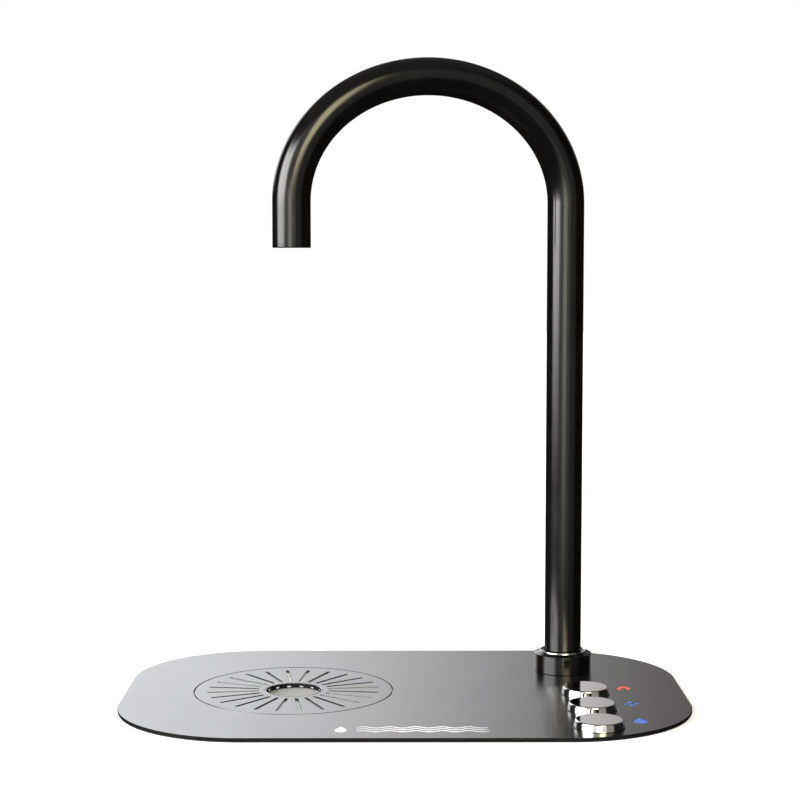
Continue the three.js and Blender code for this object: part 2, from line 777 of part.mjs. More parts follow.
// A chrome cap with a tapered wall, a rounded edge, a hollow skirt and a socketed boss.
function capGeometry() {
  const edge = [];
  const edgeSteps = 2;
  for (let i = 0; i <= edgeSteps; i += 1) {
    const angle = (i / edgeSteps) * (Math.PI / 2);
    const radius = capRadius - capTaper - capEdgeRadius * (1 - Math.cos(angle));
    edge.push([radius, capTop - capEdgeRadius * (1 - Math.sin(angle))]);
  }
  const socketTop = stemNeckTop() + seat;
  const bossEnd = stemShoulder() + seat;
  const innerRadius = capRadius - capTaper - capWall;
  return turned([
    [innerRadius, capSkirtEnd],
    [capRadius, capSkirtEnd],
    [capRadius, plateTop + capBandHeight],
    ...edge,
    [0, capTop],
    [0, socketTop],
    [stemNeckRadius + seat, socketTop],
    [stemNeckRadius + seat, bossEnd],
    [bossRadius, bossEnd],
    [bossRadius, capUnder],
    [innerRadius, capUnder],
    [innerRadius, capSkirtEnd],
  ], buttonFacets);
}

function stemNeckTop() {
  return capTop - capWall - stemNeckRoom;
}

function stemShoulder() {
  return stemNeckTop() - stemNeckLength;
}

function springGeometry() {
  const low = carrierTop + seat + springWire;
  const high = capUnder - seat - springWire;
  const stepsPerTurn = 7;
  const steps = springTurns * stepsPerTurn;
  const points = [];
  for (let i = 0; i <= steps; i += 1) {
    const angle = (i / stepsPerTurn) * 2 * Math.PI;
    const z = low + ((high - low) * i) / steps;
    points.push(new THREE.Vector3(springRadius * Math.cos(angle), springRadius * Math.sin(angle), z));
  }
  const wire = shapeOf(circle(0, 0, springWire, 5));
  const extrudePath = new THREE.CatmullRomCurve3(points);
  return new THREE.ExtrudeGeometry(wire, { extrudePath, steps, curveSegments: 1 });
}

function addButtons() {
  waterKinds.forEach((kind, i) => {
    const y = buttonYs[i];
    const place = (mesh) => mesh.position.set(buttonX, y, 0);
    place(add(`button_cap_${kind}`, capGeometry(), 'chrome'));
    const stem = turned([
      [0, stemEnd],
      [stemRadius, stemEnd],
      [stemRadius, stemShoulder()],
      [stemNeckRadius, stemShoulder()],
      [stemNeckRadius, stemNeckTop()],
      [0, stemNeckTop()],
    ], stemFacets);
    place(add(`button_stem_${kind}`, stem, 'acetal'));
    const clip = sleeve(stemRadius + seat, clipRadius, clipTop - clipThickness, clipTop, stemFacets);
    place(add(`button_clip_${kind}`, clip, 'steel'));
    place(add(`button_spring_${kind}`, springGeometry(), 'steel'));
    const sealInner = capRadius + radialFit;
    const seal = sleeve(sealInner, sealInner + sealWidth, roofUnder, housingTop, buttonFacets);
    place(add(`button_seal_${kind}`, seal, 'rubber'));
    place(add(`switch_${kind}`, box(switchSize, 0, 0, boardTop + seat), 'black'));

    const iconY = y + iconOffsetY;
    add(`led_${kind}`, box(ledSize, iconX, iconY, boardTop + seat), 'acetal');
    const flangeTop = lensUnder + lensFlangeThickness;
    const raised = iconAt(kind, iconY).map((outline) => {
      return prism(shapeOf(drawnIn(outline, iconGap)), lensUnder + joinDepth, plateTop);
    });
    const flange = rod(lensFlangeRadius, lensUnder, flangeTop).translate(iconX, iconY, 0);
    const guide = rod(lightGuideRadius, guideBottom, flangeTop - joinDepth, stemFacets);
    guide.translate(iconX, iconY, 0);
    add(`icon_lens_${kind}`, join(flange, guide, ...raised), kind === 'hot' ? 'red' : 'blue');
  });
}

// ---- Control housing ----------------------------------------------------------------------------

function addControls() {
  const outline = housingOutline(0);
  const inner = housingOutline(housingWall);
  const sealHole = capRadius + radialFit + sealWidth + radialFit;
  const roofHoles = [];
  const carrierHoles = [];
  waterKinds.forEach((kind, i) => {
    const iconY = buttonYs[i] + iconOffsetY;
    roofHoles.push(circle(buttonX, buttonYs[i], sealHole, buttonFacets));
    roofHoles.push(circle(iconX, iconY, lightGuideRadius + radialFit, stemFacets));
    carrierHoles.push(circle(buttonX, buttonYs[i], stemRadius + radialFit, stemFacets));
    carrierHoles.push(circle(iconX, iconY, lightGuideRadius + radialFit, stemFacets));
  });
  const wall = prism(shapeOf(outline, [inner]), housingEnd, housingTop);
  const roof = prism(shapeOf(outline, roofHoles), roofUnder, housingTop);
  const posts = screwPlaces.map(([x, y]) => {
    return rod(screwPostRadius, housingEnd, roofUnder + joinDepth, screwFacets).translate(x, y, 0);
  });
  const pilotTop = housingEnd + screwLength + screwPilotSpare;
  const pilots = screwPlaces.map(([x, y]) => {
    const pilot = rod(screwRadius + seat, housingEnd - cutOverrun, pilotTop, screwFacets);
    return pilot.translate(x, y, 0);
  });
  const recesses = waterKinds.map((kind, i) => {
    const recess = rod(lensFlangeRadius + radialFit, lensUnder - seat, housingTop + cutOverrun);
    return recess.translate(iconX, buttonYs[i] + iconOffsetY, 0);
  });
  const housing = cut(join(wall, roof, ...posts), ...pilots, ...recesses);
  add('control_housing', housing, 'black');

  const postHoles = screwPlaces.map(([x, y]) => {
    return circle(x, y, screwPostRadius + radialFit, screwFacets);
  });
  const carrierOutline = housingOutline(housingWall + radialFit);
  const carrierShape = shapeOf(carrierOutline, [...carrierHoles, ...postHoles]);
  const guides = buttonYs.map((y) => {
    const tube = sleeve(stemRadius + radialFit, guideRadius, guideEnd, guideTop, stemFacets);
    return tube.translate(buttonX, y, 0);
  });
  const carrier = join(prism(carrierShape, carrierUnder, carrierTop), ...guides);
  add('button_carrier', carrier, 'acetal');

  const boardOutline = housingOutline(housingWall + boardMargin);
  const board = prism(shapeOf(boardOutline, postHoles), boardUnder, boardTop);
  add('control_board', board, 'board');

  const screwHoles = screwPlaces.map(([x, y]) => {
    return circle(x, y, screwRadius + radialFit, screwFacets);
  });
  const glandHole = circle(...glandPlace, glandRadius + radialFit);
  const cover = prism(shapeOf(housingOutline(0), [...screwHoles, glandHole]), coverUnder, coverTop);
  add('control_cover', cover, 'black');

  screwPlaces.forEach(([x, y], i) => {
    const headTop = coverUnder - seat;
    const screw = turned([
      [0, headTop - screwHeadHeight],
      [screwHeadRadius - screwHeadChamfer, headTop - screwHeadHeight],
      [screwHeadRadius, headTop - screwHeadHeight + screwHeadEdge],
      [screwHeadRadius, headTop],
      [screwRadius, headTop],
      [screwRadius, housingEnd + screwLength],
      [0, housingEnd + screwLength],
    ], screwFacets);
    add(`cover_screw_${i + 1}`, screw, 'steel').position.set(x, y, 0);
  });
  addGland();
}

// A cable gland in the housing's cover, with its dome nut. It carries no cable.
function addGland() {
  const rimTop = coverTop + seat + glandRimHeight;
  const threadEnd = coverUnder - glandThreadLength;
  const gland = turned([
    [glandBore, threadEnd],
    [glandRadius, threadEnd],
    [glandRadius, coverTop + seat],
    [glandRadius + glandRim, coverTop + seat],
    [glandRadius + glandRim, rimTop],
    [glandBore, rimTop],
    [glandBore, threadEnd],
  ]);
  add('cable_gland', gland, 'black').position.set(...glandPlace, 0);
  const nutTop = coverUnder - seat;
  const nutLow = threadEnd - glandNutFloor;
  const nutBore = glandRadius + radialFit;
  const nut = turned([
    [glandBore, nutLow],
    [glandRadius - glandNutLip, nutLow],
    [glandRadius + glandNutRim, nutLow + glandNutDome],
    [glandRadius + glandNutRim, nutTop],
    [nutBore, nutTop],
    [nutBore, threadEnd - seat],
    [glandBore, threadEnd - seat],
    [glandBore, nutLow],
  ], stemFacets);
  add('gland_nut', nut, 'black').position.set(...glandPlace, 0);
}

// ---- Assembly -----------------------------------------------------------------------------------

addDeck();
addGrate();
addBowl();
addSpout();
addSpoutBase();
addClamps();
addButtons();
addControls();

export default dispenser;
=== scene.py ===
"""Looks for a deck-mounted water dispenser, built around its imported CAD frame.

Every object is in metres in the row frame, so a piece goes where its CAD node is.
"""

import json
import math

import bmesh
import bpy
from mathutils import Matrix, Vector


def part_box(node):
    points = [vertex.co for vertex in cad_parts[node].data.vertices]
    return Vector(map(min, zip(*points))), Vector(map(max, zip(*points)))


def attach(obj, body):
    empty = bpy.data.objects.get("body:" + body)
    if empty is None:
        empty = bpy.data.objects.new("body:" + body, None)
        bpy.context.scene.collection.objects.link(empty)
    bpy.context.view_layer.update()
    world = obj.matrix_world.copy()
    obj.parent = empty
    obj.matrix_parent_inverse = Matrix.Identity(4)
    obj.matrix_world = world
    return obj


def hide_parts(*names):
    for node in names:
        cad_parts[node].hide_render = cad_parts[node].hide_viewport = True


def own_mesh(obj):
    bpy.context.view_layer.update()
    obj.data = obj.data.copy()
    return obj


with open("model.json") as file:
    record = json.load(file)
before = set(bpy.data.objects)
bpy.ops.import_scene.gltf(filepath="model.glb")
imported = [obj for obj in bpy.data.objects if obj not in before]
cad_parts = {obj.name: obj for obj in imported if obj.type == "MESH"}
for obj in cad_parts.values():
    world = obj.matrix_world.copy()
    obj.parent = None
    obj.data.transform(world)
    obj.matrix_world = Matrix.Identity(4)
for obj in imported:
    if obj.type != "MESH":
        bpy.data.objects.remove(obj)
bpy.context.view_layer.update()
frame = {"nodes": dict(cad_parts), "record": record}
scene = bpy.context.scene

# ---- Sizes ----

MM = 0.001
SEAT = 0.1 * MM
FIT = 0.3 * MM

PLATE_CORNER = 96.5 * MM
GRATE_GAP = 0.6 * MM
BUTTON_GAP = 0.4 * MM
PLATE_EDGE = 0.45 * MM
EDGE_SLOPE = 0.8  # an upward tilt past which the sheet's edge counts as its face
INK_LIFT = 0.002 * MM
INK_TOP = 0.03 * MM
INK_EDGE = 0.004 * MM
FLOOR_DROP = 0.05 * MM
SHANK_HOLE = 11.3 * MM

SLOT_COUNT = 24
SLOT_WIDTH = 2.2 * MM
SLOT_INNER = 26.5 * MM
SLOT_OUTER = 65 * MM
CUP_SHEET = 0.8 * MM
CUP_DEPTH = 3.6 * MM
CUP_WALL_HOLES = 14
CUP_WALL_HOLE = (3.4 * MM, 1.7 * MM)
CUP_WALL_HOLE_RISE = 1.3 * MM

BOWL_RADIUS = 71 * MM
BOWL_SHEET = 1 * MM
BOWL_FILLET = 18 * MM
BOWL_DEPTH = 30 * MM
BOWL_FLOOR_FALL = 3 * MM
DRAIN_SEAT = 21 * MM
DRAIN_BORE = 8 * MM
DRAIN_WALL = 2.2 * MM
DRAIN_FLANGE = 1.6 * MM
DRAIN_BARBS = 3

TUBE_WALL = 1.5 * MM
ARCH_RISE = 95 * MM
ARCH_STEPS = 72
TUBE_SIDES = 72
NOZZLE_RECESS = 0.8 * MM
NOTCH_HALF_ANGLE = math.radians(20.2)
NOTCH_HEIGHT = 3.5 * MM

COLLAR_CHAMFER = 3.6 * MM
BEZEL_EDGE = 0.8 * MM
BEZEL_LIP_HEIGHT = 0.9 * MM
BEZEL_LIP_WIDTH = 1.2 * MM
SHANK_FLANGE = 18 * MM
SHANK_FLANGE_HEIGHT = 2.9 * MM
SHANK_BORE = 8.6 * MM
SHANK_THREAD = 11 * MM
SHANK_SPIGOT = 10 * MM
SHANK_PITCH = 1.5 * MM
THREAD_DEPTH = 0.6 * MM
THREAD_OVERLAP = 0.5 * MM
STUD_PITCH = 1 * MM
STUD_SIDES = 24
STUD_THREAD_DEPTH = 0.35 * MM
HOSE_RADIUS = 3.175 * MM
HOSE_BORE = 2 * MM
HOSE_PITCH = 4.4 * MM
HOSE_RECESS = 2 * MM
HOSE_ARCH_STEPS = 48
HOSE_SIDES = 24

CAP_TAPER = 0.7 * MM
CAP_EDGE = 1.2 * MM
CAP_WALL = 1.8 * MM
CAP_BAND = 0.85 * MM
CAP_BOSS = 4.3 * MM
CAP_SOCKET = 2.4 * MM
CAP_SOCKET_DEPTH = 6 * MM
ICON_GAP = 0.15 * MM
LENS_FLANGE = 0.6 * MM
LIGHT_GUIDE = 3.5 * MM
SPRING_WIRE = 0.55 * MM
SPRING_TURNS = 4
CLOSED_TURN = 0.75

HOUSING_MARGIN = 4.5 * MM
SCREW_RADIUS = 1.5 * MM
SCREW_HEAD = 1.6 * MM
HOUSING_CORNER = 6 * MM

KINDS = ("hot", "sparkling", "chilled")

# ---- The record's bodies and slots ----

record = frame["record"]
body_of = {n: b for b, nodes in record["behaviour"]["bodies"].items() for n in nodes}
slot_of = {row["node"]: row["material_slot"] for row in record["subparts"]}


def centre(node):
    low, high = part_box(node)
    return (low.x + high.x) / 2, (low.y + high.y) / 2


def radius_of(node):
    low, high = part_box(node)
    return (high.x - low.x) / 2


# ---- Mesh helpers ----


def finished(mesh, sharp=32):
    """Merges doubled points, turns the faces outwards and shades all but the sharp edges smooth."""
    work = bmesh.new()
    work.from_mesh(mesh)
    bmesh.ops.remove_doubles(work, verts=work.verts, dist=2e-7)
    bmesh.ops.recalc_face_normals(work, faces=work.faces)
    work.to_mesh(mesh)
    work.free()
    mesh.shade_smooth()
    mesh.set_sharp_from_angle(angle=math.radians(sharp))
    return mesh


def mesh_from(vertices, faces):
    mesh = bpy.data.meshes.new("piece")
    mesh.from_pydata([tuple(v) for v in vertices], [], faces)
    return finished(mesh)


def arc(x, y, radius, start, end, steps=12):
    """Points on a circle's arc, from one angle to another in degrees."""
    angles = [math.radians(start + (end - start) * i / steps) for i in range(steps + 1)]
    return [(x + radius * math.cos(a), y + radius * math.sin(a)) for a in angles]


def circle(x, y, radius, steps=96):
    return arc(x, y, radius, 0, 360, steps)[:-1]


def cubic(start, first, second, end, steps=10):
    """Points on a Bezier curve, without its last one."""
    points = []
    for i in range(steps):
        t = i / steps
        weights = ((1 - t) ** 3, 3 * t * (1 - t) ** 2, 3 * t * t * (1 - t), t**3)
        corners = (start, first, second, end)
        points.append(tuple(sum(w * c[k] for w, c in zip(weights, corners)) for k in (0, 1)))
    return points


def flat_curve(name, outlines):
    """A curve that is filled between its outlines and the holes in them."""
    curve = bpy.data.curves.new(name, "CURVE")
    curve.dimensions = "2D"
    curve.fill_mode = "BOTH"
    for outline in outlines:
        spline = curve.splines.new("POLY")
        spline.points.add(len(outline) - 1)
        for point, (x, y) in zip(spline.points, outline):
            point.co = (x, y, 0, 1)
        spline.use_cyclic_u = True
    return curve


def filled(outlines, low, high, edge):
    """A flat piece: outlines and the holes in them, raised between two heights, edges rounded."""
    curve = flat_curve("outline", outlines)
    curve.extrude = (high - low) / 2 - edge
    curve.bevel_depth = edge
    curve.bevel_resolution = 2
    curve.offset = -edge
    holder = bpy.data.objects.new("outline", curve)
    scene.collection.objects.link(holder)
    depsgraph = bpy.context.evaluated_depsgraph_get()
    mesh = bpy.data.meshes.new_from_object(holder.evaluated_get(depsgraph))
    bpy.data.objects.remove(holder)
    mesh.transform(Matrix.Translation((0, 0, (low + high) / 2)))
    return finished(mesh)


def rounded(corners, steps=5):
    """A profile from (r, z) or (r, z, fillet) corners, with each fillet drawn as an arc."""
    count = len(corners)
    points = []
    for i, corner in enumerate(corners):
        here = Vector(corner[:2])
        if len(corner) < 3:
            points.append(tuple(here))
            continue
        back = (Vector(corners[i - 1][:2]) - here).normalized()
        ahead = (Vector(corners[(i + 1) % count][:2]) - here).normalized()
        half = back.angle(ahead) / 2
        reach = corner[2] / math.tan(half)
        middle = here + (back + ahead).normalized() * corner[2] / math.sin(half)
        first = here + back * reach - middle
        last = here + ahead * reach - middle
        turn = first.angle(last)
        for k in range(steps + 1):
            t = k / steps
            mix = first * math.sin((1 - t) * turn) + last * math.sin(t * turn)
            points.append(tuple(middle + mix / math.sin(turn)))
    return points


def turned(profile, x=0.0, y=0.0, segments=96):
    """A turned piece: a ring, or solid where its profile starts and ends on the axis."""
    vertices, rings = [], []
    solid = profile[0][0] == 0
    for r, z in profile:
        if r == 0:
            rings.append([len(vertices)])
            vertices.append((x, y, z))
            continue
        rings.append(list(range(len(vertices), len(vertices) + segments)))
        for k in range(segments):
            angle = 2 * math.pi * k / segments
            vertices.append((x + r * math.cos(angle), y + r * math.sin(angle), z))
    faces = []
    for a, b in zip(rings, rings[1:] if solid else rings[1:] + rings[:1]):
        for k in range(segments):
            n = (k + 1) % segments
            corners = [a[k % len(a)], a[n % len(a)], b[n % len(b)], b[k % len(b)]]
            face = list(dict.fromkeys(corners))
            if len(face) > 2:
                faces.append(face)
    return mesh_from(vertices, faces)


def lathe(corners, node, segments, steps=5):
    """A piece turned about the middle of its CAD node, from corners with fillets."""
    return turned(rounded(corners, steps), *centre(node), segments)


def swept(stations, sides):
    """A hollow tube from (point, outward, sideways, radius) stations that close on themselves."""
    vertices = []
    for point, outward, sideways, radius in stations:
        for k in range(sides):
            angle = 2 * math.pi * k / sides
            across = outward * math.cos(angle) + sideways * math.sin(angle)
            vertices.append(point + across * radius)
    faces = []
    count = len(stations)
    for i in range(count):
        a, b = i * sides, ((i + 1) % count) * sides
        for k in range(sides):
            n = (k + 1) % sides
            faces.append([a + k, a + n, b + n, b + k])
    return mesh_from(vertices, faces)


def boolean(mesh, others, operation):
    """Joins or cuts one mesh with others."""
    base = bpy.data.objects.new("base", mesh)
    scene.collection.objects.link(base)
    tools = []
    for other in others:
        tool = bpy.data.objects.new("tool", other)
        scene.collection.objects.link(tool)
        modifier = base.modifiers.new("boolean", "BOOLEAN")
        modifier.operation = operation
        modifier.solver = "EXACT"
        modifier.object = tool
        tools.append(tool)
    depsgraph = bpy.context.evaluated_depsgraph_get()
    result = bpy.data.meshes.new_from_object(base.evaluated_get(depsgraph))
    for extra in [base, *tools]:
        bpy.data.objects.remove(extra)
    return finished(result)


def merged(meshes):
    """Several separate shells in one mesh."""
    work = bmesh.new()
    for mesh in meshes:
        work.from_mesh(mesh)
    result = bpy.data.meshes.new("piece")
    work.to_mesh(result)
    work.free()
    return finished(result)


def piece(name, mesh, node, replaced=True, slot=None):
    """Makes the object, riding on its CAD node's body and standing for that node."""
    mesh.name = name
    obj = bpy.data.objects.new(name, mesh)
    scene.collection.objects.link(obj)
    slot = slot or slot_of[node]
    mesh.materials.clear()
    mesh.materials.append(materials[slot])
    weighted = obj.modifiers.new("shading", "WEIGHTED_NORMAL")
    weighted.keep_sharp = True
    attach(obj, body_of[node])
    if replaced:
        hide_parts(node)
    return obj


# ---- Materials ----


EVEN = (1, 1, 1)


class Nodes:
    """Adds and links the shader nodes of one tree."""

    def node(self, kind, **settings):
        made = self.tree.nodes.new(kind)
        for key, value in settings.items():
            setattr(made, key, value)
        return made

    def link(self, source, target):
        self.tree.links.new(source, target)


class Finish(Nodes):
    """A Principled material with procedural detail, read in object coordinates."""

    def __init__(self, name, color, roughness, metallic=0.0, **values):
        self.material = bpy.data.materials.new(name)
        self.material.use_nodes = True
        self.tree = self.material.node_tree
        self.shader = self.tree.nodes["Principled BSDF"]
        self.shader.inputs["Base Color"].default_value = (*color, 1)
        self.shader.inputs["Roughness"].default_value = roughness
        self.shader.inputs["Metallic"].default_value = metallic
        for key, value in values.items():
            self.shader.inputs[key.replace("_", " ")].default_value = value
        self.coordinates = self.node("ShaderNodeTexCoord").outputs["Object"]
        self.height = None

    def scaled(self, scale, turn=(0, 0, 0)):
        mapping = self.node("ShaderNodeMapping")
        mapping.inputs["Scale"].default_value = scale
        mapping.inputs["Rotation"].default_value = turn
        self.link(self.coordinates, mapping.inputs["Vector"])
        return mapping.outputs["Vector"]

    def noise(self, scale, detail=3.0, stretch=EVEN):
        texture = self.node("ShaderNodeTexNoise")
        texture.inputs["Scale"].default_value = scale
        texture.inputs["Detail"].default_value = detail
        self.link(self.scaled(stretch), texture.inputs["Vector"])
        return texture.outputs["Fac"]

    def cells(self, scale, feature="F1"):
        texture = self.node("ShaderNodeTexVoronoi", feature=feature)
        texture.inputs["Scale"].default_value = scale
        self.link(self.coordinates, texture.inputs["Vector"])
        return texture.outputs["Distance"]

    def ramp(self, source, low, high, start=0.3, end=0.7):
        span = self.node("ShaderNodeMapRange")
        span.inputs["From Min"].default_value = start
        span.inputs["From Max"].default_value = end
        span.inputs["To Min"].default_value = low
        span.inputs["To Max"].default_value = high
        self.link(source, span.inputs["Value"])
        return span.outputs["Result"]

    def tint(self, source, first, second, start=0.3, end=0.7):
        """Colour that varies between two tones."""
        mix = self.node("ShaderNodeMix", data_type="RGBA")
        mix.inputs["A"].default_value = (*first, 1)
        mix.inputs["B"].default_value = (*second, 1)
        self.link(self.ramp(source, 0, 1, start, end), mix.inputs["Factor"])
        self.link(mix.outputs["Result"], self.shader.inputs["Base Color"])

    def rough(self, source, low, high, start=0.3, end=0.7):
        self.link(self.ramp(source, low, high, start, end), self.shader.inputs["Roughness"])

    def bump(self, source, depth, strength=1.0):
        """Adds relief of a depth in metres."""
        relief = self.node("ShaderNodeBump")
        relief.inputs["Distance"].default_value = depth
        relief.inputs["Strength"].default_value = strength
        self.link(source, relief.inputs["Height"])
        if self.height is not None:
            self.link(self.height, relief.inputs["Normal"])
        self.height = relief.outputs["Normal"]
        self.link(self.height, self.shader.inputs["Normal"])


def surface(name, color, roughness, metallic, tones, gloss, relief, **values):
    """A material from noise.

    tones holds a scale, a detail and two colours, and gloss the same with two roughnesses.
    relief has a scale, a detail, a stretch, a depth and a strength for each layer.
    """
    made = Finish(name, color, roughness, metallic, **values)
    made.tint(made.noise(*tones[0]), *tones[1:])
    made.rough(made.noise(*gloss[0]), *gloss[1:])
    for scale, detail, stretch, depth, strength in relief:
        made.bump(made.noise(scale, detail, stretch), depth, strength)
    return made.material


def deck_steel():
    """Dark satin steel: very fine cross grain, faint smudges and a slightly mottled tone."""
    tones = ((9, 4), (0.172, 0.169, 0.164), (0.178, 0.175, 0.17))
    gloss = ((26, 5), 0.25, 0.27)
    relief = [(900, 2, (1, 6, 1), 0.000004, 0.3)]
    return surface("deck_steel", (0.17, 0.167, 0.162), 0.26, 1.0, tones, gloss, relief)


def spout_black():
    """Glossy black coat with faint orange peel and dust-fine roughness changes."""
    tones = ((30, 3), (0.0016, 0.0015, 0.0014), (0.003, 0.0028, 0.0026))
    gloss = ((60, 4), 0.13, 0.19)
    relief = [(420, 2, EVEN, 0.00002, 0.12), (2600, 2, EVEN, 0.000003, 0.15)]
    black = (0.002, 0.0019, 0.0018)
    return surface("spout_black", black, 0.17, 0.0, tones, gloss, relief, Specular_IOR_Level=0.5)


def chrome(name, color, roughness):
    """Polished metal with hairlines and faint finger smudges."""
    tones = ((45, 3), color, tuple(c * 0.95 for c in color))
    gloss = ((140, 5), roughness * 0.7, roughness * 1.5)
    relief = [(1500, 2, (1, 12, 1), 0.000002, 0.1)]
    return surface(name, color, roughness, 1.0, tones, gloss, relief)


def brushed(name, color, roughness):
    """Brushed steel sheet or turned bar: long fine grain with tone changes."""
    tones = ((70, 5, (1, 1, 7)), color, tuple(c * 0.82 for c in color))
    gloss = ((420, 4, (1, 1, 14)), roughness * 0.75, roughness * 1.35)
    relief = [(1300, 3, (1, 1, 16), 0.000008, 0.35)]
    return surface(name, color, roughness, 1.0, tones, gloss, relief)


def moulded(name, color, roughness, grain=1500, depth=0.00003, **values):
    """Moulded plastic: spark-eroded grain, slight tone and gloss changes."""
    made = Finish(name, color, roughness, 0.0, **values)
    made.tint(made.noise(38, 4), color, tuple(min(1.0, c * 1.25 + 0.004) for c in color))
    made.rough(made.noise(240, 4), roughness * 0.85, min(1.0, roughness * 1.15))
    made.bump(made.cells(grain), depth, 0.35)
    made.bump(made.noise(grain * 1.7, 2), depth, 0.2)
    return made.material


def black_edge_and_painted_shade():
    """The sheet's laser-cut edge, oxidised black with fine cut lines across it; the strainer cup's
    upright walls wear the same black as painted shade.
    """
    tones = ((300, 4), (0.003, 0.003, 0.003), (0.007, 0.007, 0.007))
    gloss = ((500, 3), 0.38, 0.55)
    relief = [(2400, 2, (1, 1, 0.1), 0.00001, 0.3)]
    black = (0.004, 0.004, 0.004)
    return surface("black_edge_and_painted_shade", black, 0.45, 0.0, tones, gloss, relief,
                   Specular_IOR_Level=0.12)


def blasted_floor():
    """The strainer's pale bead-blasted floor."""
    tones = ((60, 4), (0.47, 0.485, 0.5), (0.53, 0.545, 0.56))
    gloss = ((300, 4), 0.55, 0.7)
    relief = [(2200, 3, EVEN, 0.00001, 0.4)]
    return surface("blasted_floor", (0.5, 0.51, 0.52), 0.62, 0.0, tones, gloss, relief)


def foam():
    """Closed-cell foam: small cells over a soft matt black."""
    made = Finish("gasket_foam", (0.012, 0.012, 0.012), 0.85)
    made.tint(made.cells(1600), (0.006, 0.006, 0.006), (0.022, 0.022, 0.021), 0.1, 0.6)
    made.rough(made.noise(300, 3), 0.78, 0.95)
    made.bump(made.cells(1600), 0.00012, 0.7)
    return made.material


def board_green():
    """Solder mask over copper tracks: a grid of darker and lighter green lanes."""
    made = Finish("board_green", (0.02, 0.12, 0.05), 0.35, 0.0, Coat_Weight=0.4)
    brick = made.node("ShaderNodeTexBrick")
    brick.inputs["Scale"].default_value = 260
    brick.inputs["Mortar Size"].default_value = 0.03
    brick.inputs["Color1"].default_value = (0.015, 0.10, 0.045, 1)
    brick.inputs["Color2"].default_value = (0.02, 0.135, 0.06, 1)
    brick.inputs["Mortar"].default_value = (0.05, 0.24, 0.10, 1)
    made.link(made.coordinates, brick.inputs["Vector"])
    made.link(brick.outputs["Color"], made.shader.inputs["Base Color"])
    made.rough(made.noise(300, 3), 0.28, 0.45)
    made.bump(brick.outputs["Fac"], 0.00004, 0.5)
    return made.material


def lit(name, color, glow, strength):
    """A lit acrylic window: the light pipe's glow is a little uneven."""
    made = Finish(name, color, 0.22, 0.0, Emission_Strength=strength)
    mix = made.node("ShaderNodeMix", data_type="RGBA")
    mix.inputs["A"].default_value = (*glow, 1)
    mix.inputs["B"].default_value = (*[min(1.0, g * 1.25 + 0.03) for g in glow], 1)
    made.link(made.ramp(made.noise(220, 2), 0, 1), mix.inputs["Factor"])
    made.link(mix.outputs["Result"], made.shader.inputs["Emission Color"])
    made.rough(made.noise(500, 3), 0.18, 0.3)
    made.bump(made.noise(900, 2), 0.00001, 0.2)
    return made.material


def bowl_white():
    """Translucent white moulding with a painted glow: an even emission over the whole bowl stands
    in for the light that comes through it.
    """
    made = Finish(
        "bowl_white",
        (0.86, 0.87, 0.86),
        0.4,
        0.0,
        Subsurface_Weight=0.25,
        Subsurface_Scale=0.004,
        # Painted glow: the emission below makes the bowl shine evenly, though it is no lamp.
        Emission_Strength=0.35,
    )
    made.shader.inputs["Emission Color"].default_value = (0.93, 0.95, 0.95, 1)
    made.tint(made.noise(34, 4), (0.84, 0.86, 0.85), (0.9, 0.91, 0.9))
    made.rough(made.noise(260, 4), 0.34, 0.48)
    made.bump(made.noise(700, 3), 0.00002, 0.3)
    return made.material


materials = {
    "deck_steel": deck_steel(),
    "gasket_foam": foam(),
    "bowl_white": bowl_white(),
    "stainless": brushed("stainless", (0.6, 0.6, 0.585), 0.24),
    "spout_black": spout_black(),
    "chrome_cap": chrome("chrome_cap", (0.84, 0.825, 0.8), 0.05),
    "trim_chrome": chrome("trim_chrome", (0.86, 0.86, 0.85), 0.07),
    "black_plastic": moulded("black_plastic", (0.018, 0.018, 0.018), 0.5),
    "rubber_black": moulded("rubber_black", (0.016, 0.016, 0.015), 0.8, 900, 0.00005),
    "acetal_white": moulded("acetal_white", (0.78, 0.77, 0.73), 0.38, Subsurface_Weight=0.1,
                            Subsurface_Scale=0.002),
    "brass": brushed("brass", (0.64, 0.47, 0.22), 0.33),
    "zinc_steel": brushed("zinc_steel", (0.56, 0.57, 0.59), 0.3),
    "board_green": board_green(),
    "icon_red": lit("icon_red", (0.3, 0.04, 0.03), (0.76, 0.065, 0.04), 0.6),
    "icon_blue": lit("icon_blue", (0.03, 0.08, 0.3), (0.03, 0.14, 0.62), 0.7),
    "hose_white": moulded("hose_white", (0.78, 0.79, 0.76), 0.3, 700, 0.00001,
                          Transmission_Weight=0.15, Subsurface_Weight=0.2,
                          Subsurface_Scale=0.002),
    "led_body": moulded("led_body", (0.85, 0.82, 0.7), 0.3, 1800, 0.00001),
}

for node, obj in frame["nodes"].items():
    obj.data.materials.clear()
    obj.data.materials.append(materials[slot_of[node]])

# ---- Outlines ----

plate_low, plate_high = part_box("deck_plate")
HALF_WIDTH = plate_high.x
HALF_DEPTH = plate_high.y
PLATE_TOP = plate_high.z
PLATE_UNDER = plate_low.z
GRATE_X, GRATE_Y = centre("grate_plate")
COLUMN_X, COLUMN_Y = centre("spout_collar")
CORNER_X = HALF_WIDTH - PLATE_CORNER
CORNER_Y = HALF_DEPTH - PLATE_CORNER


def deck_outline(inset):
    radius = PLATE_CORNER - inset
    corners = [(1, 1, 0), (-1, 1, 90), (-1, -1, 180), (1, -1, 270)]
    points = []
    for sx, sy, start in corners:
        points += arc(sx * CORNER_X, sy * CORNER_Y, radius, start, start + 90, 40)
    return points


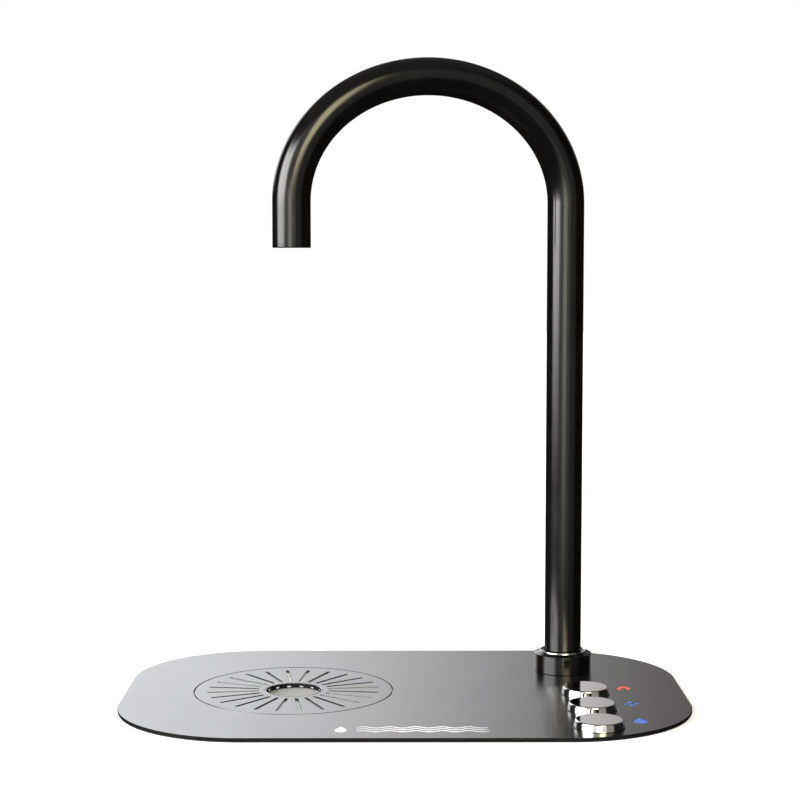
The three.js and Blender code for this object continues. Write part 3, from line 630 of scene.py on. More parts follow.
def housing_outline(inset):
    """The control housing's outline, whose front corner runs parallel to the deck's."""
    low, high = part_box("control_cover")
    radius = PLATE_CORNER - HOUSING_MARGIN - inset
    left, right, rear = low.x + inset, high.x - inset, high.y - inset
    small = HOUSING_CORNER - inset
    start = -math.degrees(math.acos((left - CORNER_X) / radius))
    end = -math.degrees(math.acos((right - CORNER_X) / radius))
    points = arc(CORNER_X, -CORNER_Y, radius, start, end, 24)
    points += arc(right - small, rear - small, small, 0, 90, 8)
    points += arc(left + small, rear - small, small, 90, 180, 8)
    return points


def flame_outline():
    """A flame drawn as a bold horseshoe, open at its foot."""
    foot, crown, tip = (-1.5, -7), (-3.6, 2.2), (-0.8, 7.4)
    points = cubic(foot, (-6.2, -5.6), (-6.2, -0.6), crown)
    points += cubic(crown, (-2, 4), (-1.2, 5.4), tip)
    points += cubic(tip, (2.2, 5.4), (6.8, 0.4), (4.6, -4.2))
    points += cubic((4.6, -4.2), (3.9, -5.8), (2.9, -6.6), (1.5, -7))
    points += cubic((1.5, -7), (3.2, -3.6), (1.8, -1.2), (0.2, 1.2))
    points += cubic((0.2, 1.2), (-1.8, -1), (-2.8, -3.4), foot)
    return [points]


def bubble_outlines():
    bubbles = [(-3.9, -1.6, 1.6), (-0.4, 4.4, 2.2), (0.2, -3.9, 2.1), (4, 0.4, 1.7)]
    return [circle(x, y, radius, 32) for x, y, radius in bubbles]


def drop_outline():
    points = cubic((0, 8), (-1.4, 4.2), (-4.9, 0.6), (-4.9, -3))
    points += cubic((-4.9, -3), (-4.9, -5.8), (-2.7, -8), (0, -8))
    points += cubic((0, -8), (2.7, -8), (4.9, -5.8), (4.9, -3))
    points += cubic((4.9, -3), (4.9, 0.6), (1.4, 4.2), (0, 8))
    return [points]


ICONS = {"hot": flame_outline(), "sparkling": bubble_outlines(), "chilled": drop_outline()}


def icon_at(kind):
    x, y = centre(f"icon_lens_{kind}")
    return [[(x + px * MM, y + py * MM) for px, py in outline] for outline in ICONS[kind]]


def drawn_in(outline, inset):
    """An outline drawn in by an inset, so that it clears its window."""
    count = len(outline)
    area = sum(
        outline[i][0] * outline[(i + 1) % count][1] - outline[(i + 1) % count][0] * outline[i][1]
        for i in range(count)
    )
    turn = 1 if area > 0 else -1
    points = []
    for i, (x, y) in enumerate(outline):
        before, after = Vector(outline[i - 1]), Vector(outline[(i + 1) % count])
        along = (after - before).normalized()
        points.append((x - turn * along.y * inset, y + turn * along.x * inset))
    return points


# ---- Deck plate, gasket and print ----


def make_deck():
    cap_radius = radius_of("button_cap_hot")
    grate_radius = radius_of("grate_plate")
    outlines = [
        deck_outline(0),
        circle(GRATE_X, GRATE_Y, grate_radius + GRATE_GAP, 192),
        circle(COLUMN_X, COLUMN_Y, SHANK_HOLE),
    ]
    for kind in KINDS:
        outlines.append(circle(*centre(f"button_cap_{kind}"), cap_radius + BUTTON_GAP, 128))
        outlines += icon_at(kind)
    sheet = piece("deck_sheet", filled(outlines, PLATE_UNDER, PLATE_TOP, PLATE_EDGE), "deck_plate")
    sheet.data.materials.append(black_edge_and_painted_shade())
    for face in sheet.data.polygons:
        if -0.99 < face.normal.z < EDGE_SLOPE:
            face.material_index = 1

    low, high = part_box("deck_gasket")
    gasket = [
        deck_outline(HALF_WIDTH - high.x),
        circle(GRATE_X, GRATE_Y, radius_of("drip_bowl") + FIT, 128),
        circle(COLUMN_X, COLUMN_Y, SHANK_HOLE),
        housing_outline(-FIT),
    ]
    for name in ("left", "front"):
        gasket.append(circle(*centre(f"clamp_stud_{name}"), 3.3 * MM, 24))
    piece("foam_gasket", filled(gasket, low.z, high.z, 0.15 * MM), "deck_gasket")


def make_print():
    """A generic printed mark near the front edge: three water lines and a drop, its ink given a
    painted glow.
    """
    # Painted glow: the ink's white emission makes the print shine, though it is no lamp.
    ink = Finish("print_ink_painted_glow", (0.75, 0.75, 0.73), 0.55, Emission_Strength=0.6)
    ink.shader.inputs["Emission Color"].default_value = (1, 1, 1, 1)
    ink.tint(ink.noise(400, 3), (0.72, 0.72, 0.7), (0.8, 0.8, 0.78))
    ink.rough(ink.noise(300, 3), 0.45, 0.65)
    ink.bump(ink.noise(1800, 2), 0.000006, 0.4)
    middle_x, middle_y = 12 * MM, -115 * MM
    half_length, swell, line, pitch = 46 * MM, 1.7 * MM, 0.9 * MM, 5.2 * MM
    steps, crests, round_end = 96, 5, 0.04
    outlines = []
    for row in (-1, 0, 1):
        upper, lower = [], []
        for i in range(steps + 1):
            share = i / steps
            x = middle_x + half_length * (2 * share - 1)
            y = middle_y + row * pitch + swell * math.sin(share * crests * 2 * math.pi)
            taper = round_end + (1 - 2 * round_end) * share
            half_line = line * math.sin(math.pi * taper) ** 0.5
            upper.append((x, y + half_line))
            lower.append((x, y - half_line))
        outlines.append(upper + lower[::-1])
    drop_x, drop_wide, drop_tall = middle_x - 57 * MM, 0.85 * MM, 0.95 * MM
    drop = [(drop_x + px * drop_wide, middle_y + py * drop_tall) for px, py in drop_outline()[0]]
    outlines.append(drop)
    mesh = filled(outlines, PLATE_TOP + INK_LIFT, PLATE_TOP + INK_TOP, INK_EDGE)
    mark = piece("water_mark_print", mesh, "deck_plate", replaced=False)
    mark.data.materials.clear()
    mark.data.materials.append(ink.material)


# ---- Grate, cup, bowl and drain ----


def slot_outline(angle):
    half = SLOT_WIDTH / 2
    points = arc(SLOT_OUTER - half, 0, half, -90, 90, 8)
    points += arc(SLOT_INNER + half, 0, half, 90, 270, 8)
    turn = Matrix.Rotation(angle, 2)
    turned_points = [turn @ Vector(p) for p in points]
    return [(GRATE_X + p.x, GRATE_Y + p.y) for p in turned_points]


def make_grate():
    low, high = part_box("grate_plate")
    cup_low, cup_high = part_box("grate_cup")
    cup_radius = radius_of("grate_cup")
    radius = radius_of("grate_plate")
    outlines = [circle(GRATE_X, GRATE_Y, radius, 192), circle(GRATE_X, GRATE_Y, cup_radius + SEAT)]
    for i in range(SLOT_COUNT):
        outlines.append(slot_outline((i + 0.5) / SLOT_COUNT * 2 * math.pi))
    piece("slotted_grate", filled(outlines, low.z, high.z, 0.4 * MM), "grate_plate")

    inner = cup_radius - CUP_SHEET
    floor_top = cup_high.z - CUP_DEPTH
    cup = lathe([
        (0, cup_low.z),
        (cup_radius, cup_low.z, 1.1 * MM),
        (cup_radius, cup_high.z, 0.35 * MM),
        (inner, cup_high.z, 0.35 * MM),
        (inner, floor_top, 0.5 * MM),
        (0, floor_top),
    ], "grate_plate", 128)
    holes = []
    wide, tall = CUP_WALL_HOLE
    for i in range(CUP_WALL_HOLES):
        oval = turned([(0, -1), (0.5, -1), (0.5, 1), (0, 1)], segments=24)
        oval.transform(Matrix.Diagonal((wide, tall, 4 * MM, 1)))
        oval.transform(Matrix.Rotation(math.pi / 2, 4, "X"))
        oval.transform(Matrix.Translation((0, inner, floor_top + CUP_WALL_HOLE_RISE)))
        oval.transform(Matrix.Rotation((i + 0.5) / CUP_WALL_HOLES * 2 * math.pi, 4, "Z"))
        oval.transform(Matrix.Translation((GRATE_X, GRATE_Y, 0)))
        holes.append(oval)
    cup_piece = piece("strainer_cup", boolean(cup, [merged(holes)], "DIFFERENCE"), "grate_cup")
    cup_piece.data.materials.append(blasted_floor())
    cup_piece.data.materials.append(black_edge_and_painted_shade())
    for face in cup_piece.data.polygons:
        if face.normal.z > 0.9 and face.center.z < floor_top + 0.1 * MM:
            face.material_index = 1
        # Painted shade: the cup's upright walls above its floor take the black edge finish to
        # darken the inside of the cup.
        elif abs(face.normal.z) < 0.6 and face.center.z > floor_top + 0.2 * MM:
            face.material_index = 2


def make_bowl():
    low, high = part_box("drip_bowl")
    rim = radius_of("drip_bowl")
    floor = high.z - BOWL_DEPTH - BOWL_FLOOR_FALL
    hole = DRAIN_BORE + DRAIN_WALL + FIT
    bowl = lathe([
        (hole, floor - BOWL_SHEET),
        (DRAIN_SEAT, floor - BOWL_SHEET, 3 * MM),
        (BOWL_RADIUS + BOWL_SHEET, floor - BOWL_SHEET + BOWL_FLOOR_FALL, BOWL_FILLET + BOWL_SHEET),
        (BOWL_RADIUS + BOWL_SHEET, high.z - 0.8 * MM),
        (rim, high.z - 0.8 * MM, 0.3 * MM),
        (rim, high.z, 0.3 * MM),
        (BOWL_RADIUS, high.z, 0.5 * MM),
        (BOWL_RADIUS, floor + BOWL_FLOOR_FALL, BOWL_FILLET),
        (DRAIN_SEAT, floor, 3 * MM),
        (hole, floor),
    ], "grate_plate", 128, 10)
    piece("catch_bowl", bowl, "drip_bowl")

    low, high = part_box("drain_spigot")
    tail = DRAIN_BORE + DRAIN_WALL
    flange = radius_of("drain_spigot")
    root, crest, pitch, rise, foot = tail - 0.4 * MM, tail + 0.5 * MM, 5 * MM, 4 * MM, 0.02 * MM
    barbs_end = low.z + DRAIN_BARBS * pitch
    flange_under = high.z - DRAIN_FLANGE
    profile = [(DRAIN_BORE, low.z, 0.3 * MM)]
    for i in range(DRAIN_BARBS):
        barb = low.z + i * pitch
        profile.append((root, barb + foot))
        profile.append((crest, barb + rise, 0.15 * MM))
    profile += [
        (root, barbs_end, 0.15 * MM),
        (tail, barbs_end + 2 * MM, 0.3 * MM),
        (tail, flange_under, 0.3 * MM),
        (flange, flange_under, 0.25 * MM),
        (flange - MM, high.z, 0.5 * MM),
        (DRAIN_BORE, high.z, 0.7 * MM),
    ]
    piece("hose_barb_drain", lathe(profile, "grate_plate", 72), "drain_spigot")


# ---- Spout ----


def goose_neck(foot, outlet, outward_offset=0.0, sideways_offset=0.0, arch_steps=ARCH_STEPS):
    """(point, outward, sideways) along the spout's line, up its column and down to its outlet."""
    reach = Vector((COLUMN_X - GRATE_X, COLUMN_Y - GRATE_Y, 0))
    half = reach.length / 2
    along = reach.normalized()
    up = Vector((0, 0, 1))
    sideways = up.cross(along)
    middle = Vector(((COLUMN_X + GRATE_X) / 2, (COLUMN_Y + GRATE_Y) / 2, 0))
    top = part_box("spout_tube")[1].z
    tube_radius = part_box("spout_tube")[1].x - COLUMN_X
    springing = top - tube_radius - ARCH_RISE
    frames = []

    def place(turn, z_shift):
        outward = (along * ARCH_RISE * math.cos(turn) + up * half * math.sin(turn)).normalized()
        point = middle + along * half * math.cos(turn)
        point.z = springing + ARCH_RISE * math.sin(turn) + z_shift
        point += outward * outward_offset + sideways * sideways_offset
        frames.append((point, outward, sideways))

    leg_steps = 8
    for i in range(leg_steps):
        place(0, (foot - springing) * (1 - i / leg_steps))
    for i in range(arch_steps + 1):
        place(math.pi * i / arch_steps, 0)
    for i in range(1, leg_steps + 1):
        place(math.pi, (outlet - springing) * i / leg_steps)
    return frames


def hollow_tube(frames, outer, inner, lip, sides):
    """Stations of a tube: out along its outside, round a rounded lip and back inside."""
    stations = [(*f, outer) for f in frames]
    end_point, outward, sideways = frames[-1]
    direction = (frames[-1][0] - frames[-2][0]).normalized()
    stations[-1] = (end_point - direction * lip, outward, sideways, outer)
    middle = (outer + inner) / 2
    half = (outer - inner) / 2
    for i in range(1, 8):
        angle = math.pi * i / 8
        radius = middle + half * math.cos(angle)
        shift = lip * math.sin(angle) - lip
        stations.append((end_point + direction * shift, outward, sideways, radius))
    inside = [(*f, inner) for f in reversed(frames)]
    inside[0] = (end_point - direction * lip, outward, sideways, inner)
    return swept(stations + inside, sides)


def make_spout():
    low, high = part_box("spout_tube")
    nozzle_low, nozzle_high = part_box("spout_nozzle")
    outer = high.x - COLUMN_X
    inner = outer - TUBE_WALL
    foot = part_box("thrust_washer")[1].z + SEAT
    outlet = nozzle_low.z - NOZZLE_RECESS
    tube = hollow_tube(goose_neck(foot, outlet), outer, inner, TUBE_WALL / 2, TUBE_SIDES)
    wedge = []
    for radius, order in ((outer + 2 * MM, 1), (inner - 2 * MM, -1)):
        angles = [90 - math.degrees(NOTCH_HALF_ANGLE), 90 + math.degrees(NOTCH_HALF_ANGLE)][::order]
        wedge += arc(COLUMN_X, COLUMN_Y, radius, *angles, 12)
    notch = filled([wedge], foot - 2 * MM, foot + NOTCH_HEIGHT, 0.1 * MM)
    piece("goose_neck", boolean(tube, [notch], "DIFFERENCE"), "spout_tube")

    radius = radius_of("spout_nozzle")
    holes = []
    reach = Vector((COLUMN_X - GRATE_X, COLUMN_Y - GRATE_Y))
    along = reach.normalized()
    for i in range(3):
        angle = i / 3 * 2 * math.pi
        outward, sideways = HOSE_PITCH * math.cos(angle), HOSE_PITCH * math.sin(angle)
        x = GRATE_X - outward * along.x - sideways * along.y
        y = GRATE_Y - outward * along.y + sideways * along.x
        holes.append(circle(x, y, HOSE_RADIUS + FIT, 40))
    disc = [circle(GRATE_X, GRATE_Y, radius, 72), *holes]
    piece("outlet_nozzle", filled(disc, nozzle_low.z, nozzle_high.z, 0.4 * MM), "spout_nozzle")

    for i, kind in enumerate(KINDS):
        angle = i / 3 * 2 * math.pi
        low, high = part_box(f"hose_{kind}")
        frames = goose_neck(low.z, nozzle_low.z + HOSE_RECESS, HOSE_PITCH * math.cos(angle),
                            HOSE_PITCH * math.sin(angle), HOSE_ARCH_STEPS)
        hose = hollow_tube(frames, HOSE_RADIUS, HOSE_BORE, 0.3 * MM, HOSE_SIDES)
        piece(f"supply_hose_{kind}", hose, f"hose_{kind}")


def make_spout_base():
    low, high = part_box("spout_collar")
    radius = radius_of("spout_collar")
    tube_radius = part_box("spout_tube")[1].x - COLUMN_X
    bore = tube_radius + 2 * FIT
    skirt = SHANK_FLANGE + FIT
    skirt_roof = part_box("thrust_washer")[1].z + FIT
    collar = lathe([
        (skirt, low.z),
        (radius, low.z, 0.4 * MM),
        (radius, high.z, 0.3 * MM),
        (bore, high.z),
        (bore, skirt_roof),
        (skirt, skirt_roof),
    ], "spout_collar", 144, 8)
    piece("base_collar", collar, "spout_collar")

    low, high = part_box("collar_trim_ring")
    foot = radius_of("collar_trim_ring")
    rim = radius - COLLAR_CHAMFER
    bezel_top = high.z - BEZEL_LIP_HEIGHT
    bezel = lathe([
        (bore, low.z),
        (foot, low.z, 0.2 * MM),
        (foot, low.z + BEZEL_EDGE, 0.3 * MM),
        (rim, bezel_top),
        (rim, high.z, 0.3 * MM),
        (rim - BEZEL_LIP_WIDTH, high.z, 0.3 * MM),
        (rim - BEZEL_LIP_WIDTH, bezel_top),
        (bore, bezel_top),
    ], "spout_collar", 144)
    ring = piece("polished_bezel", bezel, "collar_trim_ring")
    ring.data.materials.append(materials["spout_black"])
    for face in ring.data.polygons:
        if face.center.z < bezel_top + 0.1 * MM:
            face.material_index = 1
    make_shank()


def threaded(radius, depth, pitch, low, high, bore, x, y, sides=48):
    """A threaded rod or pipe: its ridges fade out at both ends."""
    steps_per_turn = 6
    rows = int((high - low) / pitch * steps_per_turn)
    vertices, faces = [], []
    fade = 1.5 * pitch
    for j in range(rows + 1):
        z = low + (high - low) * j / rows
        ends = min(1.0, (z - low) / fade, (high - z) / fade)
        for k in range(sides):
            phase = (z - low) / pitch - k / sides
            ridge = abs(2 * (phase - math.floor(phase)) - 1)
            r = radius - depth * (1 - ridge * ends)
            angle = 2 * math.pi * k / sides
            vertices.append((x + r * math.cos(angle), y + r * math.sin(angle), z))
    for j in range(rows):
        for k in range(sides):
            n = (k + 1) % sides
            a, b = j * sides, (j + 1) * sides
            faces.append([a + k, a + n, b + n, b + k])
    bottom, top = 0, rows * sides
    if bore <= 0:
        faces.append([bottom + k for k in reversed(range(sides))])
        faces.append([top + k for k in range(sides)])
        return vertices, faces
    for z in (low, high):
        for k in range(sides):
            angle = 2 * math.pi * k / sides
            vertices.append((x + bore * math.cos(angle), y + bore * math.sin(angle), z))
    inner_bottom = (rows + 1) * sides
    inner_top = inner_bottom + sides
    for k in range(sides):
        n = (k + 1) % sides
        faces.append([inner_bottom + k, inner_bottom + n, bottom + n, bottom + k])
        faces.append([top + k, top + n, inner_top + n, inner_top + k])
        faces.append([inner_top + k, inner_top + n, inner_bottom + n, inner_bottom + k])
    return vertices, faces


def make_shank():
    low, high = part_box("spout_shank")
    flange_low = PLATE_TOP + SEAT
    flange_top = flange_low + SHANK_FLANGE_HEIGHT
    thread = mesh_from(*threaded(SHANK_THREAD, THREAD_DEPTH, SHANK_PITCH, low.z,
                                 flange_low + THREAD_OVERLAP, SHANK_BORE, COLUMN_X, COLUMN_Y))
    head = lathe([
        (SHANK_BORE, flange_low),
        (SHANK_FLANGE, flange_low, 0.3 * MM),
        (SHANK_FLANGE, flange_top, 0.5 * MM),
        (SHANK_SPIGOT, flange_top),
        (SHANK_SPIGOT, high.z, 0.5 * MM),
        (SHANK_BORE, high.z, 0.2 * MM),
    ], "spout_collar", 96)
    piece("threaded_shank", boolean(head, [thread], "UNION"), "spout_shank")


# ---- Push buttons and icons ----


def make_buttons():
    for kind in KINDS:
        node = f"button_cap_{kind}"
        low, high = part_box(node)
        radius = radius_of(node)
        wall = radius - CAP_TAPER - CAP_WALL
        neck_top = high.z - CAP_WALL - FIT
        boss_end = neck_top - CAP_SOCKET_DEPTH
        cap = lathe([
            (0, high.z),
            (radius - CAP_TAPER, high.z, CAP_EDGE),
            (radius, PLATE_TOP + CAP_BAND, 3 * MM),
            (radius, low.z, 0.4 * MM),
            (wall, low.z, 0.4 * MM),
            (wall, high.z - CAP_WALL, 0.8 * MM),
            (CAP_BOSS, high.z - CAP_WALL, 0.5 * MM),
            (CAP_BOSS, boss_end, 0.3 * MM),
            (CAP_SOCKET, boss_end),
            (CAP_SOCKET, neck_top),
            (0, neck_top),
        ], node, 144, 8)
        piece(f"push_button_{kind}", cap, node)
        make_lens(kind)


def make_lens(kind):
    node = f"icon_lens_{kind}"
    low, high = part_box(node)
    flange_radius = radius_of(node)
    flange_top = PLATE_UNDER - SEAT
    flange_low = flange_top - LENS_FLANGE
    guide_low = low.z
    body = lathe([
        (0, guide_low),
        (LIGHT_GUIDE, guide_low, 0.4 * MM),
        (LIGHT_GUIDE, flange_low, 0.4 * MM),
        (flange_radius, flange_low, 0.2 * MM),
        (flange_radius, flange_top, 0.15 * MM),
        (0, flange_top),
    ], node, 64)
    raised = [drawn_in(outline, ICON_GAP) for outline in icon_at(kind)]
    windows = filled(raised, flange_top - 0.2 * MM, high.z, 0.1 * MM)
    piece(f"icon_window_{kind}", boolean(body, [windows], "UNION"), node)


# ---- Springs, fasteners and the parts under the deck ----

# Piece, CAD node, rounding of its edges in mm and steps in the rounding
SOFTENED_PER_BUTTON = [
    ("guide_stem", "button_stem", 0.2, 2),
    ("retaining_clip", "button_clip", 0.12, 2),
    ("micro_switch", "switch", 0.3, 3),
    ("light_source", "led", 0.25, 3),
]
SOFTENED = [
    ("moulded_housing", "control_housing", 0.35, 2),
    ("guide_carrier", "button_carrier", 0.25, 2),
    ("circuit_board", "control_board", 0.12, 2),
    ("bottom_cover", "control_cover", 0.5, 3),
    ("cord_gland", "cable_gland", 0.25, 2),
    ("cord_gland_nut", "gland_nut", 0.3, 2),
    ("thrust_ring", "thrust_washer", 0.15, 2),
    ("column_bush", "swivel_bush", 0.25, 2),
    ("stop_pin", "swivel_stop_pin", 0.15, 2),
]
FLAT = math.radians(1.5)
SHARP = math.radians(38)


def coil(x, y, radius, wire, low, high):
    """A compression spring of round wire, its end turns closed."""
    sides, steps_per_turn = 12, 36
    turns = SPRING_TURNS + 2 * CLOSED_TURN
    count = round(turns * steps_per_turn)
    first, last = low + wire, high - wire
    closed_rise = 2.1 * wire * CLOSED_TURN
    vertices = []
    for i in range(count + 1):
        turn = i / steps_per_turn
        if turn < CLOSED_TURN:
            z = first + closed_rise * turn / CLOSED_TURN
        elif turn > turns - CLOSED_TURN:
            z = last - closed_rise * (turns - turn) / CLOSED_TURN
        else:
            share = (turn - CLOSED_TURN) / SPRING_TURNS
            z = first + closed_rise + (last - first - 2 * closed_rise) * share
        angle = 2 * math.pi * turn
        for k in range(sides):
            around = 2 * math.pi * k / sides
            r = radius - wire + wire * math.cos(around)
            height = z + wire * math.sin(around)
            vertices.append((x + r * math.cos(angle), y + r * math.sin(angle), height))
    faces = [list(range(sides)), [count * sides + k for k in reversed(range(sides))]]
    for i in range(count):
        a, b = i * sides, (i + 1) * sides
        for k in range(sides):
            n = (k + 1) % sides
            faces.append([a + k, b + k, b + n, a + n])
    return mesh_from(vertices, faces)


def make_springs():
    for kind in KINDS:
        node = f"button_spring_{kind}"
        low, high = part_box(node)
        x, y = centre(node)
        mesh = coil(x, y, radius_of(node), SPRING_WIRE, low.z, high.z)
        spring = piece(f"return_spring_{kind}", mesh, node)
        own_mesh(spring)


def softened(name, node, width, segments):
    """A carried-over shape with its sharp edges rounded."""
    source = frame["nodes"][node]
    work = bmesh.new()
    work.from_mesh(source.data)
    work.transform(source.matrix_world)
    bmesh.ops.remove_doubles(work, verts=work.verts, dist=2e-6)
    bmesh.ops.dissolve_limit(work, angle_limit=FLAT, verts=work.verts, edges=work.edges)
    sharp = [
        edge for edge in work.edges
        if edge.is_manifold and edge.calc_face_angle() > SHARP
    ]
    bmesh.ops.bevel(work, geom=sharp, offset=width, segments=segments, profile=0.5,
                    affect="EDGES", clamp_overlap=True)
    mesh = bpy.data.meshes.new(name)
    work.to_mesh(mesh)
    work.free()
    return piece(name, finished(mesh), node)


def hex_nut(name, node, bore):
    """A hexagon nut with turned chamfers on its faces and its bore."""
    low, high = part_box(node)
    x, y = centre(node)
    wide, deep = high.x - low.x, high.y - low.y
    corner = max(wide, deep) / 2
    start = 0 if wide > deep else 30
    prism = filled([arc(x, y, corner, start, start + 360, 6)[:-1]], low.z, high.z, 0.05 * MM)
    cone, drop, spare, mouth = corner * 0.87 - 1.7 * MM, corner * 0.075, 0.1 * MM, 2 * MM
    barrel = turned([
        (0, low.z - MM), (cone, low.z - MM), (corner + spare, low.z + drop),
        (corner + spare, high.z - drop), (cone, high.z + MM), (0, high.z + MM),
    ], x, y, 96)
    opening = turned([
        (0, low.z - MM), (bore + mouth, low.z - MM), (bore, low.z + MM),
        (bore, high.z - MM), (bore + mouth, high.z + MM), (0, high.z + MM),
    ], x, y, 64)
    shaped = boolean(prism, [barrel], "INTERSECT")
    return piece(name, boolean(shaped, [opening], "DIFFERENCE"), node)


def washer(name, node, bore, edge):
    low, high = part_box(node)
    outer = radius_of(node)
    ring = lathe([
        (bore, low.z, edge),
        (outer, low.z, edge),
        (outer, high.z, edge),
        (bore, high.z, edge),
    ], node, 96, 4)
    return piece(name, ring, node)


def cover_screw(index):
    """A pan-head screw with a crossed recess, driven up from below."""
    node = f"cover_screw_{index}"
    low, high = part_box(node)
    x, y = centre(node)
    head = radius_of(node)
    shaft, tip = SCREW_RADIUS, 0.6 * MM
    neck = low.z + SCREW_HEAD
    body = lathe([
        (0, low.z),
        (head, low.z, 0.6 * MM),
        (head, neck, 0.15 * MM),
        (shaft, neck, 0.2 * MM),
        (shaft, high.z - tip),
        (shaft - tip, high.z, 0.2 * MM),
        (0, high.z),
    ], node, 48)
    arm, half, deep = head * 0.55, 0.35 * MM, 0.9 * MM
    recess = []
    for long_x, long_y in ((arm, half), (half, arm)):
        corners = [(x - long_x, y - long_y), (x + long_x, y - long_y),
                   (x + long_x, y + long_y), (x - long_x, y + long_y)]
        recess.append(filled([corners], low.z - MM, low.z + deep, 0.03 * MM))
    piece(f"pan_screw_{index}", boolean(body, recess, "DIFFERENCE"), node)


def make_fasteners():
    hex_nut("shank_hex_nut", "shank_nut", SHANK_THREAD)
    hex_nut("drain_hex_nut", "drain_nut", DRAIN_BORE + DRAIN_WALL + SEAT)
    washer("drain_seal_ring", "drain_washer", DRAIN_BORE + DRAIN_WALL + FIT, 0.7 * MM)
    washer("shank_seal_ring", "shank_rubber_washer", SHANK_THREAD + FIT, 0.7 * MM)
    washer("shank_flat_washer", "shank_steel_washer", SHANK_THREAD + FIT, 0.25 * MM)
    for side in ("left", "front"):
        node = f"clamp_stud_{side}"
        low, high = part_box(node)
        rod = threaded(radius_of(node), STUD_THREAD_DEPTH, STUD_PITCH, low.z, high.z, 0,
                       *centre(node), STUD_SIDES)
        piece(f"threaded_stud_{side}", mesh_from(*rod), node)
        softened(f"wing_nut_{side}", f"clamp_nut_{side}", 0.5 * MM, 3)
    for index in range(1, 5):
        cover_screw(index)


def make_controls():
    for kind in KINDS:
        bore = radius_of(f"button_cap_{kind}") + FIT
        washer(f"lip_seal_{kind}", f"button_seal_{kind}", bore, 0.3 * MM)
        for name, node, width, steps in SOFTENED_PER_BUTTON:
            softened(f"{name}_{kind}", f"{node}_{kind}", width * MM, steps)
    for name, node, width, steps in SOFTENED:
        softened(name, node, width * MM, steps)


# ---- Stage, camera and light ----


def make_floor():
    """A pale worktop, open where the object goes through it."""
    far = 6.0
    square = [(-far, -far), (far, -far), (far, far), (-far, far)]
    holes = [
        circle(GRATE_X, GRATE_Y, BOWL_RADIUS + BOWL_SHEET + MM, 128),
        circle(COLUMN_X, COLUMN_Y, SHANK_THREAD + 1.5 * MM, 64),
        housing_outline(-2 * MM),
    ]
    for name in ("left", "front"):
        holes.append(circle(*centre(f"clamp_stud_{name}"), 4 * MM, 24))
    curve = flat_curve("worktop", [square, *holes])
    floor = bpy.data.objects.new("worktop", curve)
    floor.location.z = -FLOOR_DROP
    scene.collection.objects.link(floor)
    pale = bpy.data.materials.new("pale_worktop")
    pale.use_nodes = True
    shader = pale.node_tree.nodes["Principled BSDF"]
    shader.inputs["Base Color"].default_value = (0.93, 0.93, 0.93, 1)
    shader.inputs["Roughness"].default_value = 0.9
    shader.inputs["Specular IOR Level"].default_value = 0.0
    shader.inputs["Emission Color"].default_value = (1, 1, 1, 1)
    shader.inputs["Emission Strength"].default_value = 0.55
    curve.materials.append(pale)
    floor.visible_glossy = False


def make_camera():
    data = bpy.data.cameras.new("camera")
    data.sensor_width = 36
    data.lens = 83.4
    camera = bpy.data.objects.new("camera", data)
    camera.location = (-0.0063, -1.3802, 0.3369)
    camera.rotation_euler = (math.pi / 2 - math.radians(4.70), 0, -0.002)
    scene.collection.objects.link(camera)
    scene.camera = camera


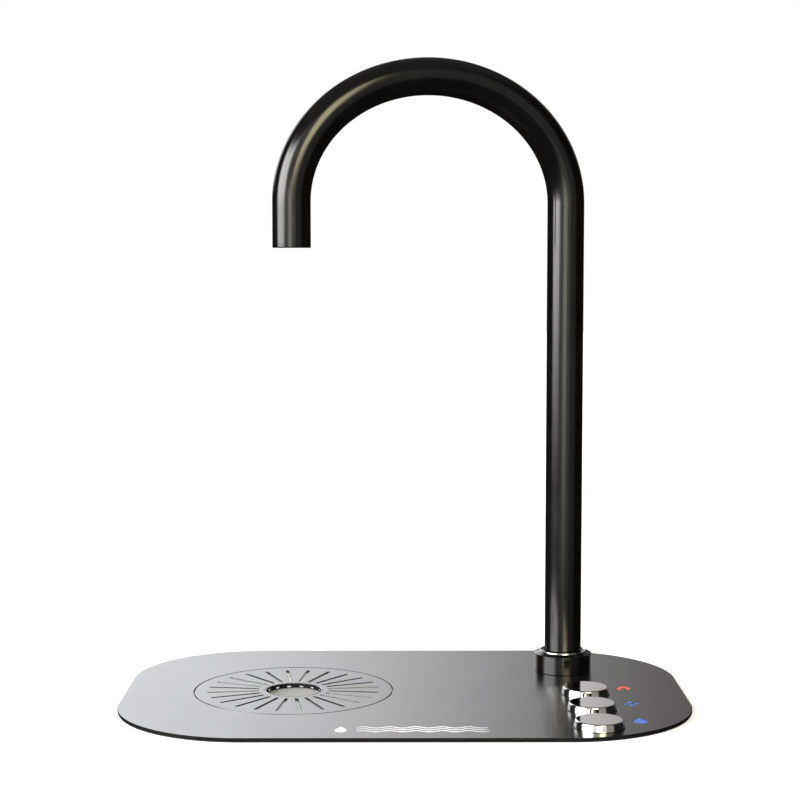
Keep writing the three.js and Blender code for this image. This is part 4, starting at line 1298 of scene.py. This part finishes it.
class Studio(Nodes):
    """World light made of soft patches, placed by direction.

    Azimuths are in degrees to the right of the camera's own direction, or to the right of the
    way back to the camera for the patches in front of the object. Elevations are above level.
    """

    def __init__(self):
        world = bpy.data.worlds.new("studio")
        world.use_nodes = True
        scene.world = world
        self.tree = world.node_tree
        self.tree.nodes.clear()
        generated = self.node("ShaderNodeTexCoord").outputs["Generated"]
        split = self.node("ShaderNodeSeparateXYZ")
        self.link(generated, split.inputs[0])
        x, y, z = split.outputs
        self.elevation = self.math("MULTIPLY", self.math("ARCSINE", z), 180 / math.pi)
        behind = self.math("ARCTAN2", x, y)
        front = self.math("ARCTAN2", x, self.math("MULTIPLY", y, -1.0))
        self.azimuth = {
            "behind": self.math("MULTIPLY", behind, 180 / math.pi),
            "front": self.math("MULTIPLY", front, 180 / math.pi),
        }
        self.light = None

    def math(self, operation, first, second=None):
        made = self.node("ShaderNodeMath", operation=operation)
        for i, value in enumerate((first, second)):
            if value is None:
                continue
            if isinstance(value, float):
                made.inputs[i].default_value = value
            else:
                self.link(value, made.inputs[i])
        return made.outputs[0]

    def smooth(self, value, start, end, low=0.0, high=1.0):
        made = self.node("ShaderNodeMapRange", interpolation_type="SMOOTHSTEP")
        made.inputs["From Min"].default_value = start
        made.inputs["From Max"].default_value = end
        made.inputs["To Min"].default_value = low
        made.inputs["To Max"].default_value = high
        self.link(value, made.inputs["Value"])
        return made.outputs["Result"]

    def window(self, value, low, high, soft):
        """1 between two angles, falling to 0 within a soft edge on each side."""
        rise = self.smooth(value, low - soft / 2, low + soft / 2)
        fall = self.smooth(value, high - soft / 2, high + soft / 2, 1.0, 0.0)
        return self.math("MULTIPLY", rise, fall)

    def add(self, amount, color):
        scaled = self.node("ShaderNodeVectorMath", operation="SCALE")
        scaled.inputs[0].default_value = color
        self.link(amount, scaled.inputs["Scale"])
        if self.light is None:
            self.light = scaled.outputs[0]
            return
        total = self.node("ShaderNodeVectorMath", operation="ADD")
        self.link(self.light, total.inputs[0])
        self.link(scaled.outputs[0], total.inputs[1])
        self.light = total.outputs[0]

    def patch(self, side, azimuths, elevations, color, soft=(8, 8)):
        across = self.window(self.azimuth[side], *azimuths, soft[0])
        up = self.window(self.elevation, *elevations, soft[1])
        self.add(self.math("MULTIPLY", across, up), color)

    def finish(self, room, backdrop):
        """Adds the room's even light, and shows the camera a plain backdrop."""
        even = self.node("ShaderNodeVectorMath", operation="ADD")
        self.link(self.light, even.inputs[0])
        even.inputs[1].default_value = room
        lit_world = self.node("ShaderNodeBackground")
        self.link(even.outputs[0], lit_world.inputs["Color"])
        shown = self.node("ShaderNodeBackground")
        shown.inputs["Color"].default_value = (*backdrop, 1)
        mix = self.node("ShaderNodeMixShader")
        camera_ray = self.node("ShaderNodeLightPath").outputs["Is Camera Ray"]
        self.link(camera_ray, mix.inputs[0])
        self.link(lit_world.outputs[0], mix.inputs[1])
        self.link(shown.outputs[0], mix.inputs[2])
        output = self.node("ShaderNodeOutputWorld")
        self.link(mix.outputs[0], output.inputs["Surface"])


def make_light():
    studio = Studio()
    behind = studio.azimuth["behind"]
    backdrop = studio.math(
        "MULTIPLY",
        studio.window(studio.elevation, 7.0, 34.0, 8),
        studio.window(behind, -44.0, 44.0, 24),
    )
    bright_side = studio.smooth(behind, -9.0, 11.0, 1.0, 0.0)
    studio.add(studio.math("MULTIPLY", backdrop, bright_side), (1.95, 2.0, 2.14))
    studio.add(backdrop, (0.235, 0.212, 0.195))
    studio.add(studio.window(studio.elevation, 46.0, 95.0, 14), (0.14, 0.14, 0.13))
    studio.patch("front", (-87, -38), (3, 33), (12.6, 12.5, 12.4), (15, 12))
    studio.patch("front", (-87, -45), (-2, 3), (11.6, 11.5, 11.4), (9, 12))
    studio.patch("front", (-18, 4), (-6, 7), (3.3, 3.25, 2.95), (10, 12))
    studio.patch("front", (-2, 22), (9, 39), (8.2, 7.3, 4.4), (11, 14))
    studio.patch("front", (-40, 26), (-10, 40), (0.9, 0.85, 0.75), (8, 14))
    studio.patch("front", (26, 62), (-12, 40), (0.3, 0.28, 0.25), (12, 14))
    studio.finish((0.012, 0.012, 0.012), (1.0, 1.0, 1.0))
    scene.view_settings.view_transform = "Standard"


# ---- Everything ----

make_camera()
make_light()
make_floor()
make_deck()
make_print()
make_grate()
make_bowl()
make_spout()
make_spout_base()
make_buttons()
make_springs()
make_fasteners()
make_controls()
